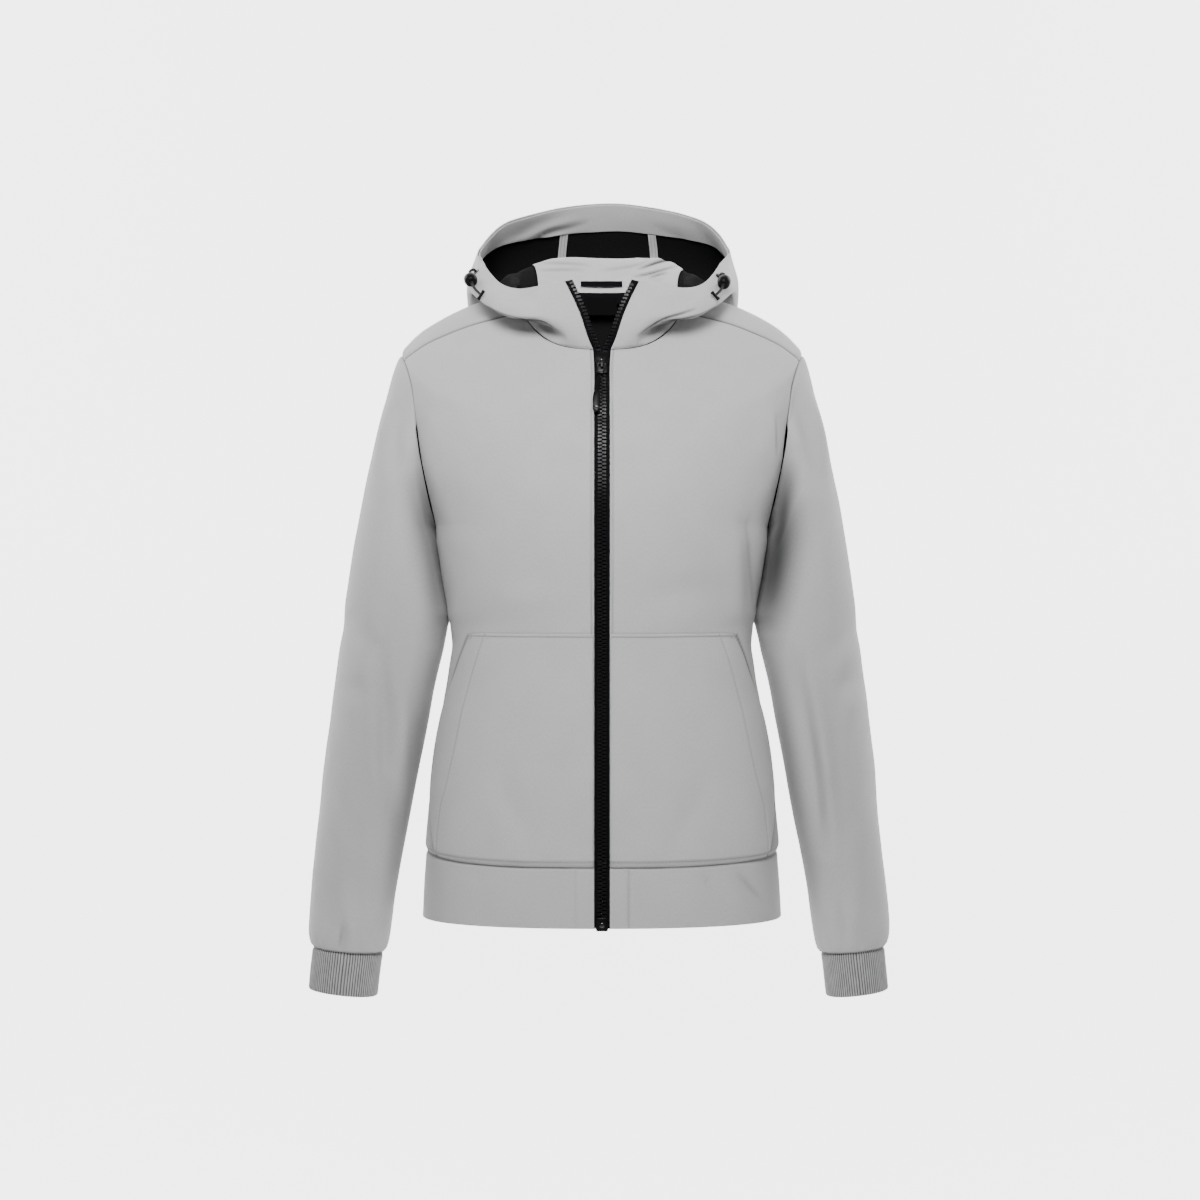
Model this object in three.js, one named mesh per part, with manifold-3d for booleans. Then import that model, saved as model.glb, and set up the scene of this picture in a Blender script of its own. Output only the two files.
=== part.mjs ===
// Women's hooded softshell jacket, filled out, front zip closed to the neck, hood fallen back.
// Millimetres. X across (the wearer's left is +X), Y back, Z up.
// The origin is the middle of the neck opening at the level of the shoulders' neck points.
import * as THREE from 'three';
import Module from 'manifold-3d';

const wasm = await Module();
wasm.setup();

// Cloth and seams
const WALL = 2.0;
const BAND_WALL = 2.0;
const CUFF_WALL = 2.8;
const LINING_WALL = 1.0;
const SEAM = 0.3;
const LAYER = 0.35;

// Zip
const ZIP_EDGE = 7.75;
const ZIP_PART_Z = -84;
const ZIP_PART_SPREAD = 1.3;
const TAPE_WIDTH = 13.4;
const TAPE_SHOWN = 7.6;
const TAPE_WALL = 0.8;
const TAPE_DEPTH = 2.5;
const TEETH_WIDTH = 3.0;
const TEETH_TOP = 0.4;
const TEETH_FOOT = 2.2;
const SLIDER_Z = -75;
const SLIDER_LENGTH = 23;
const SLIDER_WIDE = 14.6;
const SLIDER_NARROW = 10.4;
const BOX_WIDTH = 12;
const BOX_TOP_Z = -626;
const BOX_BOTTOM_Z = -641;
const TAB_EDGE = 26.5;

// Mesh steps
const FRONT_COLUMNS = 9;
const BACK_COLUMNS = 18;
const ARM_STEPS = 10;
const HOOD_ROWS = 13;

// Body rings, hem to neck. half: half width; side, front, back: level of the ring there;
// fore, aft: reach to the front and to the back; ridge: where its widest point lies in Y;
// square: 2 is round, more is squarer.
const BODY_COLUMNS = ['half', 'side', 'front', 'back', 'fore', 'aft', 'ridge', 'square'];
const BODY = [
  [186.0, -638.6, -638.6, -638.6, 119, 112, 0, 2.35],
  [184.2, -604.0, -607.0, -607.0, 118, 110, 0, 2.35],
  [182.2, -571.0, -578.0, -578.0, 117, 109, 0, 2.35],
  [183.6, -561.0, -567.0, -567.0, 119.5, 111, 0, 2.35],
  [179.6, -520.0, -521.0, -521.0, 116, 106, 0, 2.35],
  [174.2, -478.0, -478.0, -478.0, 113, 99, 0, 2.3],
  [168.1, -437.0, -437.0, -437.0, 110, 91, 0, 2.3],
  [160.5, -395.0, -395.0, -395.0, 108, 85, 0, 2.3],
  [156.7, -354.0, -354.0, -354.0, 109, 82, 0, 2.3],
  [158.5, -318.0, -318.0, -318.0, 115, 85, 0, 2.3],
  [164.5, -278.0, -278.0, -278.0, 123, 93, 1, 2.4],
  [171.5, -238.0, -240.0, -240.0, 129, 102, 2, 2.4],
  [184.0, -190.0, -208.0, -202.0, 130, 107, 3, 2.4],
  [194.0, -146.0, -182.0, -170.0, 127, 109, 4, 2.4],
  [200.0, -108.0, -158.0, -134.0, 123, 108, 5, 2.35],
  [205.0, -76.0, -140.0, -98.0, 118, 104, 7, 2.3],
  [208.0, -55.0, -129.0, -70.0, 114, 97, 8, 2.25],
  [200.5, -44.0, -119.0, -58.0, 111, 91, 8, 2.2],
  [186.0, -31.0, -108.0, -45.0, 107, 84, 6, 2.15],
  [165.0, -18.5, -96.0, -30.0, 102, 77, 3, 2.1],
  [140.0, -7.0, -83.0, -15.0, 97, 70, 0, 2.1],
  [115.0, 1.0, -71.0, -3.0, 92.5, 64, -4, 2.05],
  [90.0, 8.0, -60.0, 9.0, 88, 58, -8, 2.0],
];
const HEM_SEAM = 2;
const UNDERARM = 11;
const SHOULDER = 16;
const NECK = 22;

// Armhole: how far, in degrees round the ring, it is cut into the front and into the back
const SEAM_FORWARD = 12;
const SEAM_FORWARD_NECK = 24;
const ARMHOLE_FRONT = 11;
const ARMHOLE_BACK = 27.5;
const ARMHOLE_SHIFT = 0.4;

// Sleeve rings from the cap to the sleeve hem. outRight, outLeft: outer line of each sleeve;
// inner: line beside the body; mid: middle in Y; deep: half depth; joined: 0 is the armhole.
const SLEEVE_COLUMNS = ['outZ', 'outRight', 'outLeft', 'inZ', 'inner', 'mid', 'deep', 'joined'];
const SLEEVE = [
  [-66, 215.4, 215.0, -241, 172.6, 5, 46, 0.45],
  [-84, 220.4, 219.4, -244, 172.9, 6, 49, 0.76],
  [-103, 225.0, 223.0, -247, 172.9, 7, 52, 0.94],
  [-128, 231.5, 229.5, -251, 172.4, 8, 55, 1],
  [-162, 239.2, 237.2, -256, 171.2, 8, 58, 1],
  [-198, 247.0, 244.5, -263, 169.4, 9, 60, 1],
  [-232, 254.2, 251.0, -273, 167.4, 10, 61, 1],
  [-264, 260.2, 256.5, -289, 164.6, 11, 61, 1],
  [-296, 265.0, 261.0, -310, 161.4, 12, 60, 1],
  [-326, 269.0, 264.8, -336, 159.6, 13, 59, 1],
  [-354, 272.6, 268.4, -362, 165.0, 13, 58, 1],
  [-395, 278.6, 273.6, -403, 174.6, 12, 56, 1],
  [-437, 283.4, 278.4, -445, 182.2, 8, 53, 1],
  [-478, 288.2, 282.8, -486, 190.2, 3, 50, 1],
  [-520, 292.6, 285.4, -528, 197.6, -4, 47, 1],
  [-562, 296.6, 289.6, -570, 205.4, -10, 44, 1],
  [-603, 300.0, 293.0, -611, 212.6, -15, 41, 1],
  [-634, 302.0, 295.4, -642, 216.2, -19, 39, 1],
  [-655, 302.4, 295.8, -661, 219.0, -21, 38, 1],
  [-668, 298.0, 291.8, -674, 223.4, -22, 36.5, 1],
];
const CUFF = [
  [-668, 298.0, 291.0, -674, 225.6, -22, 35, 1],
  [-678, 298.6, 291.6, -684, 227.0, -22, 34.5, 1],
  [-694, 300.4, 293.2, -701, 229.0, -23, 34.5, 1],
  [-711, 302.0, 295.0, -719, 231.0, -23, 34, 1],
];

// Hood lines from the neck seam to the rim. turn: degrees round the neck from the zip;
// then X, Y, Z of each line's knots above the neck seam.
const HOOD_COLUMNS = ['turn', 'fold', 'inner', 'bottom', 'bulge', 'upper', 'rim'];
const HOOD = [
  [5, [12.2, -90, -51], [15.6, -91.5, -41], [19.2, -92, -29], [24, -92, -17], [30, -91, -4],
    [36.8, -88.5, 9]],
  [25, [37, -87, -49], [41, -92, -40], [47, -95, -30], [51, -95, -18], [55, -91, -6], [58, -85, 5]],
  [50, [72, -68, -36], [77, -78, -35], [86, -86, -30], [89, -85, -19], [88, -79, -7], [85, -70, 4]],
  [75, [91, -36, -6], [101, -46, -8], [116, -55, -16], [121, -53, -5], [115, -50, 6],
    [105, -46, 13]],
  [100, [93, 7, 20], [106, 11, 13], [133, 14, 3], [141, 15, 8], [138, 13, 26], [124, 8, 40]],
  [125, [79, 45, 38], [97, 66, 4], [125, 104, -44], [140, 112, -20], [142, 94, 28], [133, 62, 63]],
  [150, [50, 68, 48], [62, 92, -30], [80, 132, -122], [106, 176, -62], [114, 160, 40],
    [99, 106, 101]],
  [180, [0, 76, 49], [0, 101, -40], [0, 142, -140], [0, 194, -70], [0, 179, 46], [0, 127, 121]],
];
const HOOD_ASIDE = 8;
const TAPE_HALF = 4.4;
const FACING_FROM = 0.937;

// Materials
const paint = {
  shell: [0.70, 0.7, 0.69, 0.85],
  rib: [0.5, 0.5, 0.49, 0.95],
  black: [0.03, 0.03, 0.032, 0.7],
  moulded: [0.035, 0.035, 0.038, 0.4],
};

function material(kind) {
  const [r, g, b, roughness] = paint[kind];
  return new THREE.MeshStandardMaterial({ color: new THREE.Color(r, g, b), roughness });
}

const jacket = new THREE.Group();
jacket.name = 'hooded_softshell_jacket';

function add(name, geometry, kind) {
  const mesh = new THREE.Mesh(geometry, material(kind));
  mesh.name = name;
  jacket.add(mesh);
}

// Smooth reading of a table between its rows
function spline(a, b, c, d, t) {
  const s = t * t;
  const r = s * t;
  return 0.5 * (2 * b + (c - a) * t + (2 * a - 5 * b + 4 * c - d) * s + (3 * b - a - 3 * c + d) * r);
}

function readRow(table, row, column) {
  const last = table.length - 1;
  const at = Math.min(Math.max(row, 0), last);
  const k = Math.min(Math.floor(at), last - 1);
  const value = (i) => {
    if (i < 0) return 2 * table[0][column] - table[1][column];
    if (i > last) return 2 * table[last][column] - table[last - 1][column];
    return table[i][column];
  };
  return spline(value(k - 1), value(k), value(k + 1), value(k + 2), at - k);
}

function ringOf(row) {
  const ring = {};
  BODY_COLUMNS.forEach((name, column) => {
    ring[name] = readRow(BODY, row, column);
  });
  return ring;
}

const rad = (degrees) => degrees * Math.PI / 180;

// Point on the outside of the body: turn runs from the zip over the wearer's left to the back
function bodyPoint(row, turn) {
  const ring = ringOf(row);
  const side = turn <= 180 ? 1 : -1;
  const angle = rad(side > 0 ? turn : 360 - turn);
  const s = Math.abs(Math.sin(angle));
  const c = Math.cos(angle);
  const reach = Math.pow(Math.abs(c), 2 / ring.square);
  const fall = 1 - Math.pow(1 - Math.pow(Math.abs(c), 1.5), 1.5);
  const x = side * ring.half * Math.pow(s, 2 / ring.square);
  const y = c >= 0 ? ring.ridge - (ring.fore + ring.ridge) * reach
    : ring.ridge + (ring.aft - ring.ridge) * reach;
  const level = c >= 0 ? ring.front : ring.back;
  return new THREE.Vector3(x, y, ring.side + (level - ring.side) * fall);
}

function bodyNormal(row, turn) {
  const low = Math.max(row - 0.02, 0);
  const high = Math.min(row + 0.02, NECK);
  const a = bodyPoint(row, turn + 0.4).sub(bodyPoint(row, turn - 0.4));
  const b = bodyPoint(high, turn).sub(bodyPoint(low, turn));
  return a.cross(b).normalize();
}

// Wall between an outer and an inner grid of points, closed round its edges.
// ring: the columns run round and meet.
function wall(outer, inner, ring) {
  const rows = outer.length;
  const columns = outer[0].length;
  const positions = [];
  const index = [];
  outer.concat(inner).forEach((line) => line.forEach((p) => positions.push(p.x, p.y, p.z)));
  const at = (layer, j, i) => layer * rows * columns + j * columns + (ring ? i % columns : i);
  const quad = (a, b, c, d) => {
    index.push(a, b, c);
    index.push(a, c, d);
  };
  const last = ring ? columns : columns - 1;
  for (let j = 0; j < rows - 1; j += 1) {
    for (let i = 0; i < last; i += 1) {
      quad(at(0, j, i), at(0, j, i + 1), at(0, j + 1, i + 1), at(0, j + 1, i));
      quad(at(1, j, i), at(1, j + 1, i), at(1, j + 1, i + 1), at(1, j, i + 1));
    }
  }
  for (let i = 0; i < last; i += 1) {
    quad(at(0, 0, i), at(1, 0, i), at(1, 0, i + 1), at(0, 0, i + 1));
    quad(at(0, rows - 1, i), at(0, rows - 1, i + 1), at(1, rows - 1, i + 1), at(1, rows - 1, i));
  }
  if (!ring) {
    const end = columns - 1;
    for (let j = 0; j < rows - 1; j += 1) {
      quad(at(0, j, 0), at(0, j + 1, 0), at(1, j + 1, 0), at(1, j, 0));
      quad(at(0, j, end), at(1, j, end), at(1, j + 1, end), at(0, j + 1, end));
    }
  }
  const geometry = new THREE.BufferGeometry();
  geometry.setAttribute('position', new THREE.Float32BufferAttribute(positions, 3));
  geometry.setIndex(index);
  if (volumeOf(geometry) < 0) flip(geometry);
  geometry.computeVertexNormals();
  return geometry;
}

function volumeOf(geometry) {
  const p = geometry.getAttribute('position');
  const index = geometry.getIndex();
  const v = [0, 1, 2].map(() => new THREE.Vector3());
  let sum = 0;
  for (let i = 0; i < index.count; i += 3) {
    v.forEach((w, k) => w.fromBufferAttribute(p, index.getX(i + k)));
    sum += v[0].dot(v[1].clone().cross(v[2]));
  }
  return sum / 6;
}

function flip(geometry) {
  const index = geometry.getIndex();
  for (let i = 0; i < index.count; i += 3) {
    const keep = index.getX(i);
    index.setX(i, index.getX(i + 1));
    index.setX(i + 1, keep);
  }
}

// Outward directions at the points of a grid, from its own faces
function gridNormals(grid, ring) {
  const rows = grid.length;
  const columns = grid[0].length;
  return grid.map((line, j) => line.map((p, i) => {
    const before = ring ? (i + columns - 1) % columns : Math.max(i - 1, 0);
    const after = ring ? (i + 1) % columns : Math.min(i + 1, columns - 1);
    const a = line[after].clone().sub(line[before]);
    const b = grid[Math.min(j + 1, rows - 1)][i].clone().sub(grid[Math.max(j - 1, 0)][i]);
    return a.cross(b).normalize();
  }));
}

const offset = (grid, normals, depth) => grid.map((line, j) => line.map((p, i) => (
  p.clone().addScaledVector(normals[j][i], -depth))));

const spread = (from, to, count) => Array.from({ length: count + 1 }, (_, i) => (
  from + (to - from) * i / count));

// Value of a grid of vectors between its points
function between(grid, row, column) {
  const j = Math.min(Math.floor(row), grid.length - 2);
  const i = Math.min(Math.floor(column), grid[0].length - 2);
  const low = grid[j][i].clone().lerp(grid[j][i + 1], column - i);
  const high = grid[j + 1][i].clone().lerp(grid[j + 1][i + 1], column - i);
  return low.lerp(high, row - j);
}

// Moves an edge of a grid inwards by half a seam. edge: 'first' or 'last', of rows or columns
function trimRow(grid, edge) {
  const last = grid.length - 1;
  const [j, k] = edge === 'first' ? [0, 1] : [last, last - 1];
  grid[j].forEach((p, i) => {
    const way = grid[k][i].clone().sub(p).normalize();
    p.addScaledVector(way, SEAM / 2);
  });
}

function trimColumn(grid, edge) {
  const last = grid[0].length - 1;
  const [i, k] = edge === 'first' ? [0, 1] : [last, last - 1];
  grid.forEach((line) => {
    const way = line[k].clone().sub(line[i]).normalize();
    line[i].addScaledVector(way, SEAM / 2);
  });
}

// A sheet that lies on a grid between two depths below it, at given rows and columns of the grid.
// The columns may differ from row to row
function patch(base, rows, columns, near, far) {
  const columnsAt = typeof columns === 'function' ? columns : () => columns;
  const layer = (depth) => rows.map((row) => columnsAt(row).map((column) => {
    const d = typeof depth === 'function' ? depth(row, column) : depth;
    return between(base.points, row, column).addScaledVector(between(base.normals, row, column), -d);
  }));
  return { outer: layer(near), inner: layer(far) };
}

// Body panels

function zipEdgeX(z) {
  const over = Math.max(0, (z - ZIP_PART_Z) / (-60 - ZIP_PART_Z));
  return ZIP_EDGE + ZIP_PART_SPREAD * over * over;
}

// The turn at which a ring of the body reaches a given distance from the middle of the front
function turnAt(row, x) {
  const ring = ringOf(row);
  return Math.asin(Math.pow(x / ring.half, ring.square / 2)) * 180 / Math.PI;
}

// Armhole: step 0 is its top, ARM_STEPS its foot under the arm
function armholeAt(step, front) {
  const angle = Math.PI * step / ARM_STEPS;
  const up = (1 + Math.cos(angle)) / 2;
  const bow = Math.pow(Math.abs(Math.sin(angle)), 0.8);
  const turn = 90 - SEAM_FORWARD * up + (front ? -ARMHOLE_FRONT : ARMHOLE_BACK) * bow;
  return { row: UNDERARM + (SHOULDER - UNDERARM) * up, turn: step === ARM_STEPS ? 90 : turn };
}

function shoulderSeamTurn(row) {
  const t = (row - SHOULDER) / (NECK - SHOULDER);
  return 90 - SEAM_FORWARD - (SEAM_FORWARD_NECK - SEAM_FORWARD) * t;
}

// Rows of the panels below the armhole, and the turn of the pocket's open edge on the first of them
const LOW_ROWS = [
  [2, 64.5],
  [3, 67],
  [3.8, 73.5],
  [4.6, 78],
  [5.5, 79.5],
  [6.4, 77],
  [7.3, 68],
  [8.22, 57],
  [9.1, 60],
  [10, 63],
  [11, 64],
];
const POCKET_ROWS = 7;
const POCKET_COLUMNS = 7;
const HIGH_ROWS = [16, 17, 18, 19, 20, 21, 22];

// Rows of a body panel with the turn of its outer edge: side seam, armhole, shoulder seam
function panelRows(front) {
  const rows = LOW_ROWS.map(([row, pocketTurn]) => ({ row, turn: 90, pocketTurn }));
  for (let step = ARM_STEPS - 1; step > 0; step -= 1) {
    rows.push(armholeAt(step, front));
  }
  HIGH_ROWS.forEach((row) => rows.push({ row, turn: shoulderSeamTurn(row) }));
  return rows;
}

function frontGrid(side) {
  const points = [];
  const normals = [];
  panelRows(true).forEach(({ row, turn, pocketTurn }) => {
    const from = turnAt(row, zipEdgeX(ringOf(row).front));
    const knee = pocketTurn || from + (turn - from) * 0.78;
    const turns = [...spread(from, knee, POCKET_COLUMNS),
      ...spread(knee, turn, FRONT_COLUMNS - POCKET_COLUMNS).slice(1)];
    const sided = turns.map((t) => (side > 0 ? t : 360 - t));
    points.push(sided.map((t) => bodyPoint(row, t)));
    normals.push(sided.map((t) => bodyNormal(row, t)));
  });
  return { points, normals };
}

function backGrid() {
  const points = [];
  const normals = [];
  panelRows(false).forEach(({ row, turn }) => {
    const turns = spread(turn, 360 - turn, BACK_COLUMNS);
    points.push(turns.map((t) => bodyPoint(row, t)));
    normals.push(turns.map((t) => bodyNormal(row, t)));
  });
  return { points, normals };
}

const whole = (grid) => [spread(0, grid.points.length - 1, grid.points.length - 1),
  spread(0, grid.points[0].length - 1, grid.points[0].length - 1)];

// A panel of a grid with its seam edges trimmed
function panel(grid, edges) {
  const [rows, columns] = whole(grid);
  const sheet = patch(grid, rows, columns, 0, WALL);
  [sheet.outer, sheet.inner].forEach((layer) => {
    trimRow(layer, 'first');
    trimRow(layer, 'last');
    edges.forEach((edge) => trimColumn(layer, edge));
  });
  return wall(sheet.outer, sheet.inner, false);
}

const fronts = { left: frontGrid(1), right: frontGrid(-1) };
const backs = backGrid();
add('front_left', panel(fronts.left, ['last']), 'shell');
add('front_right', panel(fronts.right, ['last']), 'shell');
add('back', panel(backs, ['first', 'last']), 'shell');

// Hem band, from tab to tab round the back, and its two end tabs
const BAND_ROWS = [0, 0.7, 1.35, HEM_SEAM];

function bandGrid(turnsOf) {
  const points = BAND_ROWS.map((row) => turnsOf(row).map((t) => bodyPoint(row, t)));
  const normals = BAND_ROWS.map((row) => turnsOf(row).map((t) => bodyNormal(row, t)));
  return { points, normals };
}

function bandSheet(grid, edges) {
  const [rows, columns] = whole(grid);
  const sheet = patch(grid, rows, columns, 0, BAND_WALL);
  [sheet.outer, sheet.inner].forEach((layer) => {
    trimRow(layer, 'last');
    edges.forEach((edge) => trimColumn(layer, edge));
  });
  return wall(sheet.outer, sheet.inner, false);
}

add('hem_band', bandSheet(bandGrid((row) => {
  const from = turnAt(row, TAB_EDGE);
  return spread(from, 360 - from, 40);
}), ['first', 'last']), 'shell');
const tabs = {};
[['left', 1], ['right', -1]].forEach(([name, side]) => {
  tabs[name] = bandGrid((row) => {
    const turns = spread(turnAt(row, ZIP_EDGE), turnAt(row, TAB_EDGE), 2);
    return side > 0 ? turns : turns.map((t) => 360 - t);
  });
  add(`hem_tab_${name}`, bandSheet(tabs[name], ['last']), 'shell');
});

// Sleeves and cuffs

function armholeLoop(side) {
  const loop = [];
  for (let i = 0; i < 2 * ARM_STEPS; i += 1) {
    const front = i <= ARM_STEPS;
    const { row, turn } = armholeAt(front ? i : 2 * ARM_STEPS - i, front);
    const t = side > 0 ? turn : 360 - turn;
    loop.push(bodyPoint(row, t));
  }
  return loop;
}

// The cap's rings turn forward at the top, by less and less down the sleeve, to meet the armhole
const CAP_TURN = 26;
const CAP_TURN_RINGS = 9;

function sleeveRing(line, side, k) {
  const value = (name) => line[SLEEVE_COLUMNS.indexOf(name)];
  const out = side > 0 ? value('outLeft') : value('outRight');
  const top = new THREE.Vector3(side * out, value('mid'), value('outZ'));
  const foot = new THREE.Vector3(side * value('inner'), value('mid'), value('inZ'));
  const middle = top.clone().add(foot).multiplyScalar(0.5);
  const half = top.clone().sub(middle);
  const ring = [];
  for (let i = 0; i < 2 * ARM_STEPS; i += 1) {
    const plain = Math.PI * i / ARM_STEPS;
    const forward = rad(CAP_TURN) * Math.max(0, 1 - k / CAP_TURN_RINGS);
    const angle = plain + forward * (1 + Math.cos(plain)) / 2;
    const c = Math.sign(Math.cos(angle)) * Math.pow(Math.abs(Math.cos(angle)), 0.92);
    const s = Math.sign(Math.sin(angle)) * Math.pow(Math.abs(Math.sin(angle)), 0.92);
    ring.push(middle.clone().addScaledVector(half, c).add(new THREE.Vector3(0, -s * value('deep'), 0)));
  }
  return ring;
}

function sleeve(side) {
  const loop = armholeLoop(side);
  loop.forEach((p, i) => {
    const up = (1 + Math.cos(Math.PI * i / ARM_STEPS)) / 2;
    p.x += side * ARMHOLE_SHIFT;
    p.z -= ARMHOLE_SHIFT * up * up;
  });
  const joined = SLEEVE_COLUMNS.indexOf('joined');
  const rings = [loop];
  SLEEVE.forEach((line, k) => {
    const ring = sleeveRing(line, side, k);
    const share = line[joined];
    rings.push(ring.map((p, i) => loop[i].clone().lerp(p, share)));
  });
  const last = rings.length - 1;
  rings[last].forEach((p) => {
    p.z += SEAM / 2;
  });
  return rings;
}

function outwards(normals, grid, ring) {
  const middle = new THREE.Vector3();
  const line = grid[grid.length - 1];
  line.forEach((p) => middle.add(p));
  middle.multiplyScalar(1 / line.length);
  const probe = line[0].clone().sub(middle).dot(normals[grid.length - 1][0]);
  if (probe < 0) normals.forEach((row) => row.forEach((n) => n.negate()));
  return normals;
}

[['sleeve_left', 1], ['sleeve_right', -1]].forEach(([name, side]) => {
  const rings = sleeve(side);
  const normals = outwards(gridNormals(rings, true), rings, true);
  // At the armhole the wall leans with the body's wall where the two run on smoothly
  rings[0].forEach((p, i) => {
    const front = i <= ARM_STEPS;
    const { row, turn } = armholeAt(front ? i : 2 * ARM_STEPS - i, front);
    const body = bodyNormal(row, side > 0 ? turn : 360 - turn);
    const own = normals[0][i];
    const share = Math.max(0, Math.min(1, (body.dot(own) + 0.2) / 0.5));
    own.lerp(body, share).normalize();
  });
  add(name, wall(rings, offset(rings, normals, WALL), true), 'shell');
});

[['cuff_left', 1], ['cuff_right', -1]].forEach(([name, side]) => {
  const rings = CUFF.map((line) => sleeveRing(line, side, CAP_TURN_RINGS));
  rings[0].forEach((p) => {
    p.z -= SEAM / 2;
  });
  const normals = outwards(gridNormals(rings, true), rings, true);
  add(name, wall(rings, offset(rings, normals, CUFF_WALL), true), 'rib');
});

// Pockets: a patch on each front from the zip to its open edge, which stands off a little
const POCKET_WALL = 1.6;
const POCKET_LIFT = 2.6;
const POCKET_LAYER = 0.45;
[['left', 1], ['right', -1]].forEach(([name]) => {
  const rows = spread(0, POCKET_ROWS, POCKET_ROWS);
  rows[0] = 0.04;
  const columns = spread(0, POCKET_COLUMNS, POCKET_COLUMNS);
  columns[0] = 0.04;
  const lift = (row, column) => POCKET_LAYER + POCKET_LIFT * Math.pow(column / POCKET_COLUMNS, 3)
    * Math.sin(Math.PI * Math.min(1, row / (POCKET_ROWS - 1)));
  const sheet = patch(fronts[name], rows, columns, (r, c) => -lift(r, c) - POCKET_WALL,
    (r, c) => -lift(r, c));
  add(`pocket_${name}`, wall(sheet.outer, sheet.inner, false), 'shell');
});

// Hood

function hoodKnot(at, knot, axis) {
  const last = HOOD.length - 1;
  const base = Math.min(Math.floor(at), last - 1);
  const value = (i) => {
    if (i < 0) return 2 * HOOD[0][knot][axis] - HOOD[1][knot][axis];
    if (i > last) return (axis === 0 ? -1 : 1) * HOOD[2 * last - i][knot][axis];
    return HOOD[i][knot][axis];
  };
  return spline(value(base - 1), value(base), value(base + 1), value(base + 2), at - base);
}

function turnToRow(turn) {
  let k = 0;
  while (k < HOOD.length - 2 && HOOD[k + 1][0] < turn) k += 1;
  return k + (turn - HOOD[k][0]) / (HOOD[k + 1][0] - HOOD[k][0]);
}

// Point on the outside of the hood; up runs from 0 at the neck seam to 1 at the rim
function hoodPoint(turn, up) {
  const side = turn <= 180 ? 1 : -1;
  const own = side > 0 ? turn : 360 - turn;
  const at = Math.min(Math.max(turnToRow(own), 0), HOOD.length - 1);
  const place = Math.min(Math.max(up, 0), 1) * 6;
  const k = Math.min(Math.floor(place), 5);
  const neck = bodyPoint(NECK, own);
  const knots = [1, 2, 3, 4, 5, 6].map((i) => new THREE.Vector3(...[0, 1, 2].map((axis) => (
    hoodKnot(at, i, axis)))));
  const line = [neck, ...knots];
  const values = ['x', 'y', 'z'].map((axis) => {
    const knot = (i) => {
      if (i < 0) return 2 * line[0][axis] - line[1][axis];
      if (i > 6) return 2 * line[6][axis] - line[5][axis];
      return line[i][axis];
    };
    return spline(knot(k - 1), knot(k), knot(k + 1), knot(k + 2), place - k);
  });
  const back = Math.max(0, own - 100) / 80;
  const aside = HOOD_ASIDE * Math.min(1, back) * Math.min(1, up * 3);
  return new THREE.Vector3(side * values[0] + aside, values[1], values[2]);
}

function hoodNormal(turn, up) {
  const a = hoodPoint(turn + 0.6, up).sub(hoodPoint(turn - 0.6, up));
  const b = hoodPoint(turn, Math.min(up + 0.012, 1)).sub(hoodPoint(turn, Math.max(up - 0.012, 0)));
  return a.cross(b).normalize();
}

// The hood's columns start from the points of the fronts and the back at the neck seam
const hoodTurns = (() => {
  const seam = shoulderSeamTurn(NECK);
  const from = turnAt(NECK, zipEdgeX(ringOf(NECK).front));
  const knee = from + (seam - from) * 0.78;
  const front = [...spread(from, knee, POCKET_COLUMNS),
    ...spread(knee, seam, FRONT_COLUMNS - POCKET_COLUMNS).slice(1)];
  const back = spread(seam, 360 - seam, BACK_COLUMNS).slice(1, -1);
  return [...front, ...back, ...front.map((t) => 360 - t).reverse()];
})();
const hoodUps = [...spread(0, FACING_FROM, HOOD_ROWS - 1), 1];
const hood = {
  points: hoodUps.map((up) => hoodTurns.map((t) => hoodPoint(t, up))),
  normals: hoodUps.map((up) => hoodTurns.map((t) => hoodNormal(t, up))),
};
const SPLIT_LEFT = FRONT_COLUMNS + BACK_COLUMNS / 2 - 1;
const SPLIT_RIGHT = SPLIT_LEFT + 2;
const HOOD_LAST = hoodTurns.length - 1;

function hoodPanel(from, to, edges) {
  const sheet = patch(hood, spread(0, HOOD_ROWS, HOOD_ROWS), spread(from, to, to - from), 0, WALL);
  [sheet.outer, sheet.inner].forEach((layer) => {
    trimRow(layer, 'first');
    edges.forEach((edge) => trimColumn(layer, edge));
  });
  return wall(sheet.outer, sheet.inner, false);
}

add('hood_side_left', hoodPanel(0, SPLIT_LEFT, ['last']), 'shell');
add('hood_centre', hoodPanel(SPLIT_LEFT, SPLIT_RIGHT, ['first', 'last']), 'shell');
add('hood_side_right', hoodPanel(SPLIT_RIGHT, HOOD_LAST, ['first']), 'shell');

// Inside of the hood: rim facing, neck band, seam tapes
function lining(rows, columns, thickness, gap = LAYER) {
  const sheet = patch(hood, rows, columns, WALL + gap, WALL + gap + thickness);
  return wall(sheet.outer, sheet.inner, false);
}

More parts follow.
